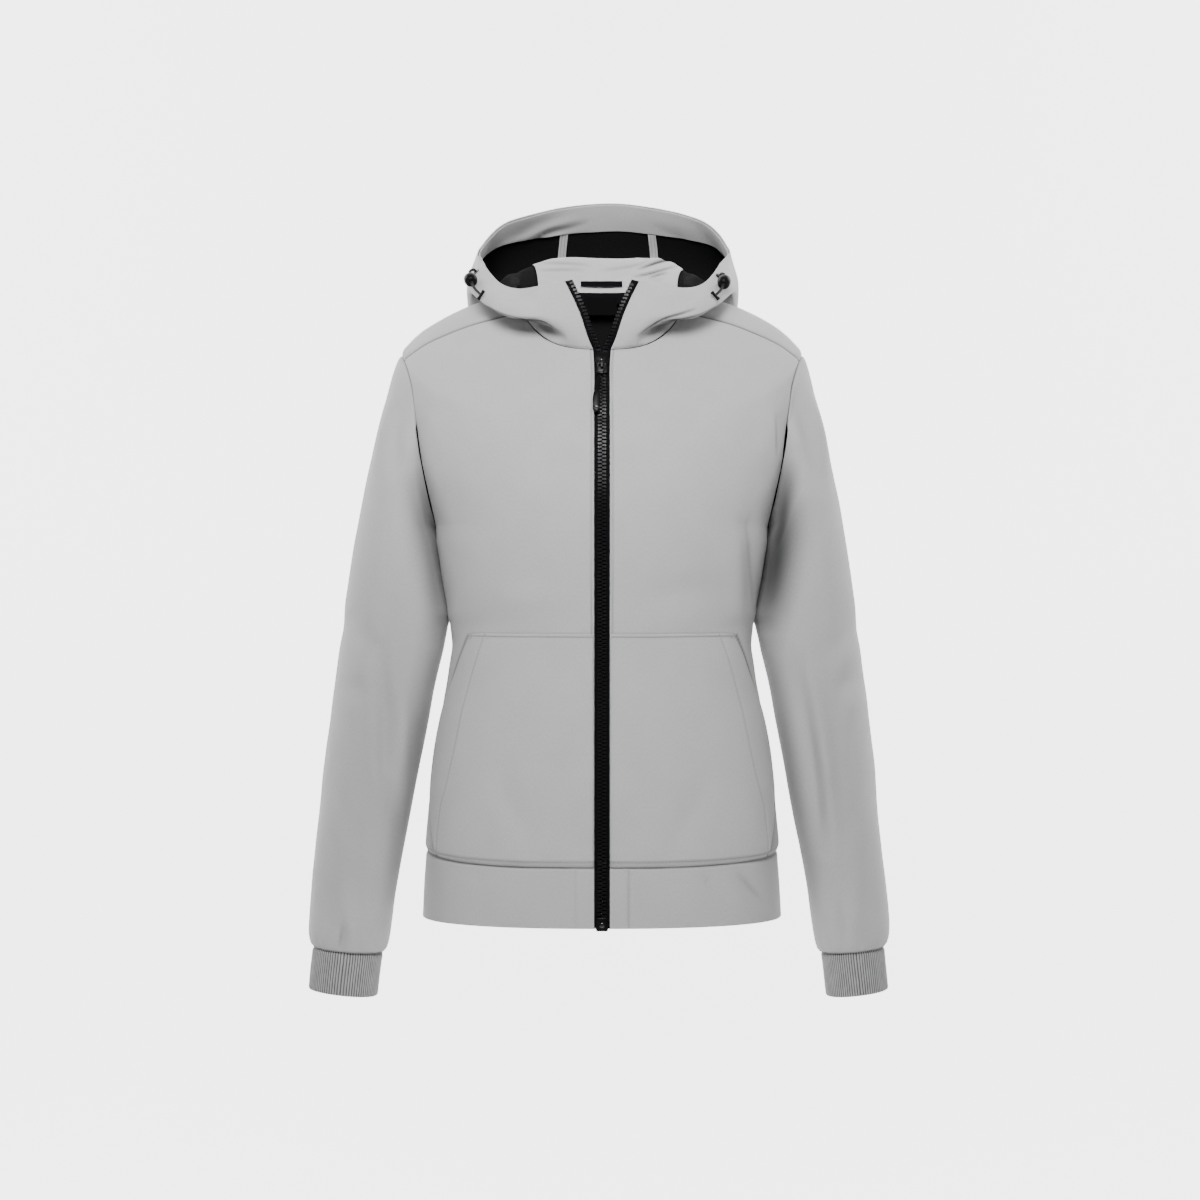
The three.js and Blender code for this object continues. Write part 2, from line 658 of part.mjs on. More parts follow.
const BAND_LEFT = 5;
const BAND_RIGHT = 4;
const BAND_ROWS_UP = 2;
const middleColumn = HOOD_LAST / 2;
add('hood_facing', lining([HOOD_ROWS - 1, HOOD_ROWS - 0.02],
  spread(3, HOOD_LAST - 3, HOOD_LAST - 6), LINING_WALL), 'shell');
add('hood_band', lining([0.04, 1, BAND_ROWS_UP],
  spread(middleColumn - BAND_LEFT, middleColumn + BAND_RIGHT, BAND_LEFT + BAND_RIGHT), LINING_WALL),
  'shell');
[['left', SPLIT_LEFT], ['right', SPLIT_RIGHT]].forEach(([name, column]) => {
  const columnsAt = (row) => {
    const here = between(hood.points, row, column);
    const share = (next) => TAPE_HALF / here.distanceTo(between(hood.points, row, next));
    return [column - share(column - 1), column, column + share(column + 1)];
  };
  const rows = [BAND_ROWS_UP + 0.05, ...spread(BAND_ROWS_UP + 1, HOOD_ROWS - 2, HOOD_ROWS - 4 - BAND_ROWS_UP + 1),
    HOOD_ROWS - 1.03];
  add(`hood_tape_${name}`, lining(rows, columnsAt, 0.6, 0.6), 'shell');
});

// Neck tape, hanger loop and bare label at the back of the neck
const neckIn = WALL + LAYER + LINING_WALL + LAYER;

function neckStrip(turns, low, high, depth, thickness, bow) {
  const outer = [];
  const inner = [];
  [low, (low + high) / 2, high].forEach((z) => {
    const line = [];
    const under = [];
    turns.forEach((turn, i) => {
      const p = hoodPoint(turn, 0);
      const q = new THREE.Vector3(p.x, p.y + 8, 0).normalize();
      const lift = bow * Math.sin(Math.PI * i / (turns.length - 1));
      line.push(new THREE.Vector3(p.x, p.y, z).addScaledVector(q, -depth - lift));
      under.push(new THREE.Vector3(p.x, p.y, z).addScaledVector(q, -depth - lift - thickness));
    });
    outer.push(line);
    inner.push(under);
  });
  return wall(outer, inner, false);
}

add('neck_tape', neckStrip(spread(114, 246, 16), 2, 14, neckIn, 0.8, 0), 'black');
add('hanger_loop', neckStrip(spread(166, 194.6, 6), 21, 26.6, neckIn - 3.3, 0.8, 2.2), 'black');
add('label', neckStrip(spread(169, 193, 4), -10, 9, neckIn + 0.8 + LAYER, 0.6, 0), 'black');

// Zip: each half follows its panel's edge and then the hood's front edge
function zipPath(name) {
  const path = [];
  const take = (grid, j) => {
    const p = grid.points[j][0].clone();
    const away = grid.points[j][1];
    path.push({ p, n: grid.normals[j][0].clone(), w: p.clone().sub(away).normalize() });
  };
  const tab = tabs[name];
  const front = fronts[name];
  tab.points.slice(0, -1).forEach((_, j) => take(tab, j));
  front.points.forEach((_, j) => take(front, j));
  const turnBack = name === 'left' ? hood : {
    points: hood.points.map((line) => [...line].reverse()),
    normals: hood.normals.map((line) => [...line].reverse()),
  };
  turnBack.points.slice(1).forEach((_, j) => take(turnBack, j + 1));
  return path;
}

function zipStrip(path, from, to, depthOut, depthIn, start, end) {
  const outer = [];
  const inner = [];
  path.slice(start, end).forEach(({ p, n, w }) => {
    const place = (across, depth) => p.clone().addScaledVector(w, across).addScaledVector(n, -depth);
    outer.push([place(from, depthOut), place(to, depthOut)]);
    inner.push([place(from, depthIn), place(to, depthIn)]);
  });
  return wall(outer, inner, false);
}

['left', 'right'].forEach((name) => {
  const path = zipPath(name);
  add(`zip_tape_${name}`, zipStrip(path, TAPE_SHOWN - TAPE_WIDTH, TAPE_SHOWN,
    TAPE_DEPTH, TAPE_DEPTH + TAPE_WALL, 0, path.length), 'black');
  add(`zip_teeth_${name}`, zipStrip(path, TAPE_SHOWN - TEETH_WIDTH, TAPE_SHOWN,
    TEETH_TOP, TEETH_FOOT, 1, path.length), 'moulded');
});

// Solids joined and cut as whole bodies
function toSolid(geometry) {
  const source = geometry.index ? geometry.toNonIndexed() : geometry;
  const p = source.getAttribute('position');
  const keys = new Map();
  const vertices = [];
  const triangles = [];
  for (let i = 0; i < p.count; i += 1) {
    const at = [p.getX(i), p.getY(i), p.getZ(i)];
    const key = at.map((v) => Math.round(v * 1e4)).join(',');
    if (!keys.has(key)) {
      keys.set(key, vertices.length / 3);
      vertices.push(...at);
    }
    triangles.push(keys.get(key));
  }
  return new wasm.Manifold(new wasm.Mesh({
    numProp: 3,
    vertProperties: new Float32Array(vertices),
    triVerts: new Uint32Array(triangles),
  }));
}

function fromSolid(solid) {
  const mesh = solid.getMesh();
  const geometry = new THREE.BufferGeometry();
  const points = [];
  for (let i = 0; i < mesh.vertProperties.length; i += mesh.numProp) {
    points.push(mesh.vertProperties[i], mesh.vertProperties[i + 1], mesh.vertProperties[i + 2]);
  }
  geometry.setAttribute('position', new THREE.Float32BufferAttribute(points, 3));
  geometry.setIndex(Array.from(mesh.triVerts));
  geometry.computeVertexNormals();
  return geometry;
}

function block(x0, x1, y0, y1, z0, z1) {
  const box = new THREE.BoxGeometry(x1 - x0, y1 - y0, z1 - z0);
  box.translate((x0 + x1) / 2, (y0 + y1) / 2, (z0 + z1) / 2);
  return box;
}

function plate(outline, y0, y1) {
  const shape = new THREE.Shape(outline.map(([x, z]) => new THREE.Vector2(x, z)));
  const body = new THREE.ExtrudeGeometry(shape, { depth: y1 - y0, bevelEnabled: false });
  body.rotateX(Math.PI / 2);
  body.translate(0, y1, 0);
  return body;
}

// Place of the slider: its own Z runs up the zip, its own -Y out of the cloth
const sliderRow = (() => {
  let low = SHOULDER;
  let high = NECK;
  for (let k = 0; k < 40; k += 1) {
    const middle = (low + high) / 2;
    if (ringOf(middle).front < SLIDER_Z) low = middle;
    else high = middle;
  }
  return low;
})();
const sliderAt = bodyPoint(sliderRow, 0);
const sliderOut = bodyNormal(sliderRow, 3);
const sliderTilt = Math.atan2(-sliderOut.z, -sliderOut.y);

function onSlider(geometry) {
  geometry.rotateX(sliderTilt);
  geometry.translate(0, sliderAt.y, sliderAt.z);
  return geometry;
}

const half = SLIDER_LENGTH / 2;
const wide = SLIDER_WIDE / 2;
const narrow = SLIDER_NARROW / 2;
const cover = [[-narrow, -half], [narrow, -half], [narrow, -2], [wide, 6], [wide - 1.5, half],
  [-wide + 1.5, half], [-wide, 6], [-narrow, -2]];
const under = cover.map(([x, z]) => [x * 0.9, z]);
let slider = toSolid(plate(cover, -2.4, -0.3));
const pieces = [
  plate(under, 4.2, 5.6),
  block(-0.45, 0.45, -1, 5, half - 3.4, half - 0.4),
  block(3.9, 5.0, -1, 1.9, -half, -3),
  block(-5.0, -3.9, -1, 1.9, -half, -3),
  block(-1.3, 1.3, -6, -1.5, 3.8, 6.4),
  block(-1.3, 1.3, -6, -1.5, -6.6, -4.4),
  block(-1.3, 1.3, -7.2, -5.6, -6.6, 6.4),
];
pieces.forEach((piece) => {
  slider = slider.add(toSolid(piece));
});
add('zip_slider', onSlider(fromSolid(slider)), 'moulded');

// Pull: a link through the slider's bridge, a cord strap and a moulded grip, hanging down
const PIN_Y = -3.9;
const PIN_Z = -1.2;
const LINK_LEAN = 2.4;
const LINK_DROP = 11.5;
const linkOuter = [[-5.0, -1.0], [-5.0, 1.0], [5.0, 1.0], [5.0, -1.0],
  [3.6 - LINK_LEAN, -LINK_DROP], [-3.6 - LINK_LEAN, -LINK_DROP]];
const linkHole = [[-2.9 - LINK_LEAN, 1.9 - LINK_DROP], [2.9 - LINK_LEAN, 1.9 - LINK_DROP],
  [3.2, -1.0], [-3.2, -1.0]];
const linkShape = new THREE.Shape(linkOuter.map(([x, z]) => new THREE.Vector2(x, z)));
linkShape.holes.push(new THREE.Path(linkHole.map(([x, z]) => new THREE.Vector2(x, z))));
const link = new THREE.ExtrudeGeometry(linkShape, { depth: 1.6, bevelEnabled: false });
link.rotateX(Math.PI / 2);
link.translate(0, PIN_Y + 0.8, PIN_Z);
add('pull_link', onSlider(link), 'moulded');

// The strap starts a seam's gap under the link's lower bar, and the grip under the strap
const strap = plate([[-4.3, PIN_Z - 12.4], [-0.9, PIN_Z - 12.4], [-3.4, PIN_Z - 30],
  [-6.8, PIN_Z - 30]], PIN_Y - 0.8, PIN_Y + 0.8);
add('pull_strap', onSlider(strap), 'black');
const gripTop = PIN_Z - 30.3;
const grip = plate([[-6.9, gripTop], [-3.3, gripTop], [-1.8, gripTop - 3], [-1.5, gripTop - 9],
  [-2.4, gripTop - 20], [-3.6, gripTop - 23.4], [-7.6, gripTop - 23.4], [-9.2, gripTop - 20],
  [-9.2, gripTop - 9], [-8.6, gripTop - 3]], PIN_Y - 1.7, PIN_Y + 1.7);
add('pull_grip', onSlider(grip), 'moulded');

// Box at the foot of the zip
const boxDepth = bodyPoint(0, 0).y;
add('zip_box', block(-BOX_WIDTH / 2, BOX_WIDTH / 2, boxDepth - 0.9, boxDepth + 2.0,
  BOX_BOTTOM_Z, BOX_TOP_Z - 1), 'moulded');

// Drawcords at the rim with eyelet, lock and end. Columns: side, turn of the exit, how far the
// eyelet sits in, then the cord's places on the hood as turn, up and height off it
const CORD_RADIUS = 1.4;
const CORDS = [
  ['left', 87, 0, [[87, 0.92, 0], [87, 0.92, 4], [85, 0.88, 7], [80, 0.82, 7], [74, 0.76, 6.4],
    [68, 0.72, 5]]],
  ['right', 264, 0.9, [[264, 0.9, 0], [264, 0.9, 4], [266, 0.86, 7], [272, 0.8, 7], [279, 0.74, 6.4],
    [286, 0.7, 5]]],
];

function tube(points, radius, steps) {
  const curve = new THREE.CatmullRomCurve3(points);
  const section = new THREE.Shape();
  for (let i = 0; i < 8; i += 1) {
    const a = Math.PI * 2 * i / 8;
    if (i === 0) section.moveTo(radius * Math.cos(a), radius * Math.sin(a));
    else section.lineTo(radius * Math.cos(a), radius * Math.sin(a));
  }
  section.closePath();
  return new THREE.ExtrudeGeometry(section, { steps, extrudePath: curve, bevelEnabled: false });
}

function turned(profile, sides) {
  const points = profile.map(([r, y]) => new THREE.Vector2(r, y));
  points.push(points[0].clone());
  return new THREE.LatheGeometry(points, sides);
}

function aim(geometry, at, direction) {
  const q = new THREE.Quaternion().setFromUnitVectors(new THREE.Vector3(0, 1, 0), direction);
  geometry.applyQuaternion(q);
  geometry.translate(at.x, at.y, at.z);
  return geometry;
}

CORDS.forEach(([name, turn, sunk, places]) => {
  const points = places.map(([t, up, height]) => (
    hoodPoint(t, up).addScaledVector(hoodNormal(t, up), height)));
  const out = hoodNormal(turn, places[0][1]);
  const seat = hoodPoint(turn, places[0][1]).addScaledVector(out, -sunk);
  const exit = [seat.clone().addScaledVector(out, 1.5), ...points.slice(1)];
  add(`drawcord_${name}`, tube(exit, CORD_RADIUS, 22), 'black');
  const rim = turned([[2.2, 0.35], [4.6, 0.35], [4.4, 1.2], [3.2, 1.7], [2.2, 1.5]], 16);
  add(`eyelet_${name}`, aim(rim, seat, out), 'moulded');
  const lockMiddle = points[3];
  const lockWay = points[4].clone().sub(points[2]).normalize();
  const lock = turned([[2.1, -6.5], [4.4, -6.5], [5.2, -3], [5.2, 3], [4.4, 6.5], [2.1, 6.5]], 12);
  add(`cord_lock_${name}`, aim(lock, lockMiddle, lockWay), 'moulded');
  const endWay = points[5].clone().sub(points[4]).normalize();
  const cap = new THREE.CylinderGeometry(2.4, 2.2, 7, 10);
  add(`cord_end_${name}`, aim(cap, points[5].clone().addScaledVector(endWay, 3.9), endWay), 'moulded');
});

export default jacket;
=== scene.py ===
# Women's hooded softshell jacket: looks of every piece. Metres; shapes are worked out in millimetres.
# X across (the wearer's left is +X), Y back, Z up. The origin is the middle of the neck opening.
import math
import bmesh
import bpy
import numpy as np
from mathutils import Matrix, Vector


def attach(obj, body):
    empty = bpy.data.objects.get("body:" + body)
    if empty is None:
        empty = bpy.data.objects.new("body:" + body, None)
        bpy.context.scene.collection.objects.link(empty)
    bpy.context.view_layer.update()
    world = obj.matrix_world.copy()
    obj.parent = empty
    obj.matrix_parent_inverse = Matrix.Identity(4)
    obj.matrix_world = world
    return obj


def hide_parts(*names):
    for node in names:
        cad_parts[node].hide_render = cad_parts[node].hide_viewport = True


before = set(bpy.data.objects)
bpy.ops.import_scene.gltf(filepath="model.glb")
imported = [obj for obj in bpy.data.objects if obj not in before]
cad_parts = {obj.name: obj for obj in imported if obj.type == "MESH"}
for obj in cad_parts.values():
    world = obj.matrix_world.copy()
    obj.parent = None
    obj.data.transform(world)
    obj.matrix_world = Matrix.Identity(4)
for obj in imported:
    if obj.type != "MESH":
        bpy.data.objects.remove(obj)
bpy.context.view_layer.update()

MM = 0.001
TAU = 2 * math.pi

# sizes shared with the solids
ZIP_EDGE = 7.75
ZIP_PART_Z = -84
ZIP_PART_SPREAD = 1.3
TAPE_WIDTH = 13.4
TAPE_SHOWN = 7.6
TAPE_DEPTH = 2.5
TAB_EDGE = 26.5
HEM_SEAM = 2
UNDERARM = 11
SHOULDER = 16
NECK = 22
SEAM_FORWARD = 12
SEAM_FORWARD_NECK = 24
ARMHOLE_FRONT = 11
ARMHOLE_BACK = 27.5
ARM_STEPS = 10
CAP_TURN = 26
CAP_TURN_RINGS = 9
HOOD_ASIDE = 8
FACING_FROM = 0.937
# walls of the cloth
SHELL_WALL = 1.5
POCKET_WALL = 1.3
BAND_WALL = 1.9
CUFF_WALL = 2.4
LINING_WALL = 0.9
SEAM_TAPE_WALL = 0.6
ZIP_TAPE_WALL = 0.7
# how far rows of stitches run from their edges
HEM_STITCHES = 6.0
ZIP_STITCHES = 2.4
POCKET_TOP_STITCHES = 3.4
SLEEVE_HEM_STITCHES = 5.4

# half, side, front, back, fore, aft, ridge, square
BODY = np.array([
    [186.0, -638.6, -638.6, -638.6, 119, 112, 0, 2.35],
    [184.2, -604.0, -607.0, -607.0, 118, 110, 0, 2.35],
    [182.2, -571.0, -578.0, -578.0, 117, 109, 0, 2.35],
    [183.6, -561.0, -567.0, -567.0, 119.5, 111, 0, 2.35],
    [179.6, -520.0, -521.0, -521.0, 116, 106, 0, 2.35],
    [174.2, -478.0, -478.0, -478.0, 113, 99, 0, 2.3],
    [168.1, -437.0, -437.0, -437.0, 110, 91, 0, 2.3],
    [160.5, -395.0, -395.0, -395.0, 108, 85, 0, 2.3],
    [156.7, -354.0, -354.0, -354.0, 109, 82, 0, 2.3],
    [158.5, -318.0, -318.0, -318.0, 115, 85, 0, 2.3],
    [164.5, -278.0, -278.0, -278.0, 123, 93, 1, 2.4],
    [171.5, -238.0, -240.0, -240.0, 129, 102, 2, 2.4],
    [184.0, -190.0, -208.0, -202.0, 130, 107, 3, 2.4],
    [194.0, -146.0, -182.0, -170.0, 127, 109, 4, 2.4],
    [200.0, -108.0, -158.0, -134.0, 123, 108, 5, 2.35],
    [205.0, -76.0, -140.0, -98.0, 118, 104, 7, 2.3],
    [208.0, -55.0, -129.0, -70.0, 114, 97, 8, 2.25],
    [200.5, -44.0, -119.0, -58.0, 111, 91, 8, 2.2],
    [186.0, -31.0, -108.0, -45.0, 107, 84, 6, 2.15],
    [165.0, -18.5, -96.0, -30.0, 102, 77, 3, 2.1],
    [140.0, -7.0, -83.0, -15.0, 97, 70, 0, 2.1],
    [115.0, 1.0, -71.0, -3.0, 92.5, 64, -4, 2.05],
    [90.0, 8.0, -60.0, 9.0, 88, 58, -8, 2.0],
])

# outZ, outRight, outLeft, inZ, inner, mid, deep, joined
SLEEVE = np.array([
    [-66, 215.4, 215.0, -241, 172.6, 5, 46, 0.45],
    [-84, 220.4, 219.4, -244, 172.9, 6, 49, 0.76],
    [-103, 225.0, 223.0, -247, 172.9, 7, 52, 0.94],
    [-128, 231.5, 229.5, -251, 172.4, 8, 55, 1],
    [-162, 239.2, 237.2, -256, 171.2, 8, 58, 1],
    [-198, 247.0, 244.5, -263, 169.4, 9, 60, 1],
    [-232, 254.2, 251.0, -273, 167.4, 10, 61, 1],
    [-264, 260.2, 256.5, -289, 164.6, 11, 61, 1],
    [-296, 265.0, 261.0, -310, 161.4, 12, 60, 1],
    [-326, 269.0, 264.8, -336, 159.6, 13, 59, 1],
    [-354, 272.6, 268.4, -362, 165.0, 13, 58, 1],
    [-395, 278.6, 273.6, -403, 174.6, 12, 56, 1],
    [-437, 283.4, 278.4, -445, 182.2, 8, 53, 1],
    [-478, 288.2, 282.8, -486, 190.2, 3, 50, 1],
    [-520, 292.6, 285.4, -528, 197.6, -4, 47, 1],
    [-562, 296.6, 289.6, -570, 205.4, -10, 44, 1],
    [-603, 300.0, 293.0, -611, 212.6, -15, 41, 1],
    [-634, 302.0, 295.4, -642, 216.2, -19, 39, 1],
    [-655, 302.4, 295.8, -661, 219.0, -21, 38, 1],
    [-668, 298.0, 291.8, -674, 223.4, -22, 36.5, 1],
])
CUFF = np.array([
    [-668, 298.0, 291.0, -674, 225.6, -22, 35, 1],
    [-678, 298.6, 291.6, -684, 227.0, -22, 34.5, 1],
    [-694, 300.4, 293.2, -701, 229.0, -23, 34.5, 1],
    [-711, 302.0, 295.0, -719, 231.0, -23, 34, 1],
])

# turn, then fold, inner, bottom, bulge, upper, rim as X, Y, Z
HOOD_TURNS = np.array([5, 25, 50, 75, 100, 125, 150, 180.0])
HOOD = np.array([
    [[12.2, -90, -51], [15.6, -91.5, -41], [19.2, -92, -29], [24, -92, -17], [30, -91, -4], [36.8, -88.5, 9]],
    [[37, -87, -49], [41, -92, -40], [47, -95, -30], [51, -95, -18], [55, -91, -6], [58, -85, 5]],
    [[72, -68, -36], [77, -78, -35], [86, -86, -30], [89, -85, -19], [88, -79, -7], [85, -70, 4]],
    [[91, -36, -6], [101, -46, -8], [116, -55, -16], [121, -53, -5], [115, -50, 6], [105, -46, 13]],
    [[93, 7, 20], [106, 11, 13], [133, 14, 3], [141, 15, 8], [138, 13, 26], [124, 8, 40]],
    [[79, 45, 38], [97, 66, 4], [125, 104, -44], [140, 112, -20], [142, 94, 28], [133, 62, 63]],
    [[50, 68, 48], [62, 92, -30], [80, 132, -122], [106, 176, -62], [114, 160, 40], [99, 106, 101]],
    [[0, 76, 49], [0, 101, -40], [0, 142, -140], [0, 194, -70], [0, 179, 46], [0, 127, 121]],
], float)

# camera
stage_collection = bpy.context.scene.collection


def place_camera():
    data = bpy.data.cameras.new("photo_camera")
    data.lens = 75
    data.sensor_width = 36
    camera = bpy.data.objects.new("photo_camera", data)
    stage_collection.objects.link(camera)
    camera.location = (-0.002, -2.6, -0.312)
    camera.rotation_euler = (math.pi / 2, 0, 0)
    bpy.context.scene.camera = camera


place_camera()


# reading the tables smoothly
def spline(a, b, c, d, t):
    s, r = t * t, t * t * t
    return 0.5 * (2 * b + (c - a) * t + (2 * a - 5 * b + 4 * c - d) * s + (3 * b - a - 3 * c + d) * r)


def read_table(table, at):
    """Rows of a table at places between its rows, with straight run-out past both ends."""
    table = np.asarray(table, float)
    last = len(table) - 1
    full = np.concatenate([[2 * table[0] - table[1]], table, [2 * table[last] - table[last - 1]]])
    at = np.clip(np.asarray(at, float), 0, last)
    k = np.minimum(np.floor(at), last - 1).astype(int)
    t = (at - k).reshape(at.shape + (1,) * (table.ndim - 1))
    return spline(full[k], full[k + 1], full[k + 2], full[k + 3], t)


def length_along(points):
    """Distance from the first point of a line to each of its points."""
    steps = np.linalg.norm(np.diff(points, axis=0), axis=1)
    return np.concatenate([[0], np.cumsum(steps)])


def unit(v):
    return v / np.maximum(np.linalg.norm(v, axis=-1, keepdims=True), 1e-9)


def body_point(row, turn):
    """Outside of the body: turn runs from the zip over the wearer's left to the back."""
    row, turn = np.broadcast_arrays(np.asarray(row, float), np.asarray(turn, float))
    half, side_z, front_z, back_z, fore, aft, ridge, square = np.moveaxis(read_table(BODY, row), -1, 0)
    side = np.where(turn <= 180, 1.0, -1.0)
    angle = np.radians(np.where(turn <= 180, turn, 360 - turn))
    s, c = np.abs(np.sin(angle)), np.cos(angle)
    reach = np.abs(c) ** (2 / square)
    fall = 1 - (1 - np.abs(c) ** 1.5) ** 1.5
    x = side * half * s ** (2 / square)
    y = np.where(c >= 0, ridge - (fore + ridge) * reach, ridge + (aft - ridge) * reach)
    level = np.where(c >= 0, front_z, back_z)
    return np.stack([x, y, side_z + (level - side_z) * fall], -1)


def body_normal(row, turn):
    low, high = np.maximum(row - 0.02, 0), np.minimum(row + 0.02, NECK)
    a = body_point(row, turn + 0.4) - body_point(row, turn - 0.4)
    b = body_point(high, turn) - body_point(low, turn)
    return unit(np.cross(a, b))


def turn_at(row, x):
    ring = read_table(BODY, row)
    return np.degrees(np.arcsin((x / ring[..., 0]) ** (ring[..., 7] / 2)))


def zip_edge_x(z):
    over = np.maximum(0, (z - ZIP_PART_Z) / (-60 - ZIP_PART_Z))
    return ZIP_EDGE + ZIP_PART_SPREAD * over * over


def armhole_at(step, front):
    angle = np.pi * step / ARM_STEPS
    up = (1 + np.cos(angle)) / 2
    bow = np.abs(np.sin(angle)) ** 0.8
    reach = np.where(front, -ARMHOLE_FRONT, ARMHOLE_BACK)
    return UNDERARM + (SHOULDER - UNDERARM) * up, 90 - SEAM_FORWARD * up + reach * bow


def shoulder_seam_turn(row):
    t = (row - SHOULDER) / (NECK - SHOULDER)
    return 90 - SEAM_FORWARD - (SEAM_FORWARD_NECK - SEAM_FORWARD) * t


def hood_line(turn):
    """The seven knots of the hood's line at each turn."""
    own = np.where(turn <= 180, turn, 360 - turn)
    at = np.interp(own, HOOD_TURNS, np.arange(8))
    mirrored = HOOD[[6]] * [-1, 1, 1]
    full = np.concatenate([[2 * HOOD[0] - HOOD[1]], HOOD, mirrored])
    k = np.minimum(np.floor(at), 6).astype(int)
    t = (at - k)[..., None, None]
    knots = spline(full[k], full[k + 1], full[k + 2], full[k + 3], t)
    neck = body_point(np.full(own.shape, float(NECK)), own)[..., None, :]
    return np.concatenate([neck, knots], -2), own


def hood_point(turn, up):
    turn, up = np.broadcast_arrays(np.asarray(turn, float), np.asarray(up, float))
    line, own = hood_line(turn)
    side = np.where(turn <= 180, 1.0, -1.0)
    place = np.clip(up, 0, 1) * 6
    k = np.minimum(np.floor(place), 5).astype(int)
    full = np.concatenate([2 * line[..., :1, :] - line[..., 1:2, :], line,
                           2 * line[..., 6:, :] - line[..., 5:6, :]], -2)

    def knot(i):
        return np.take_along_axis(full, (k + i)[..., None, None], -2)[..., 0, :]

    p = spline(knot(0), knot(1), knot(2), knot(3), (place - k)[..., None])
    back = np.clip((own - 100) / 80, 0, 1)
    aside = HOOD_ASIDE * back * np.minimum(1, up * 3)
    return np.stack([side * p[..., 0] + aside, p[..., 1], p[..., 2]], -1)


def hood_normal(turn, up):
    a = hood_point(turn + 0.6, up) - hood_point(turn - 0.6, up)
    b = hood_point(turn, np.minimum(up + 0.012, 1)) - hood_point(turn, np.maximum(up - 0.012, 0))
    return unit(np.cross(a, b))
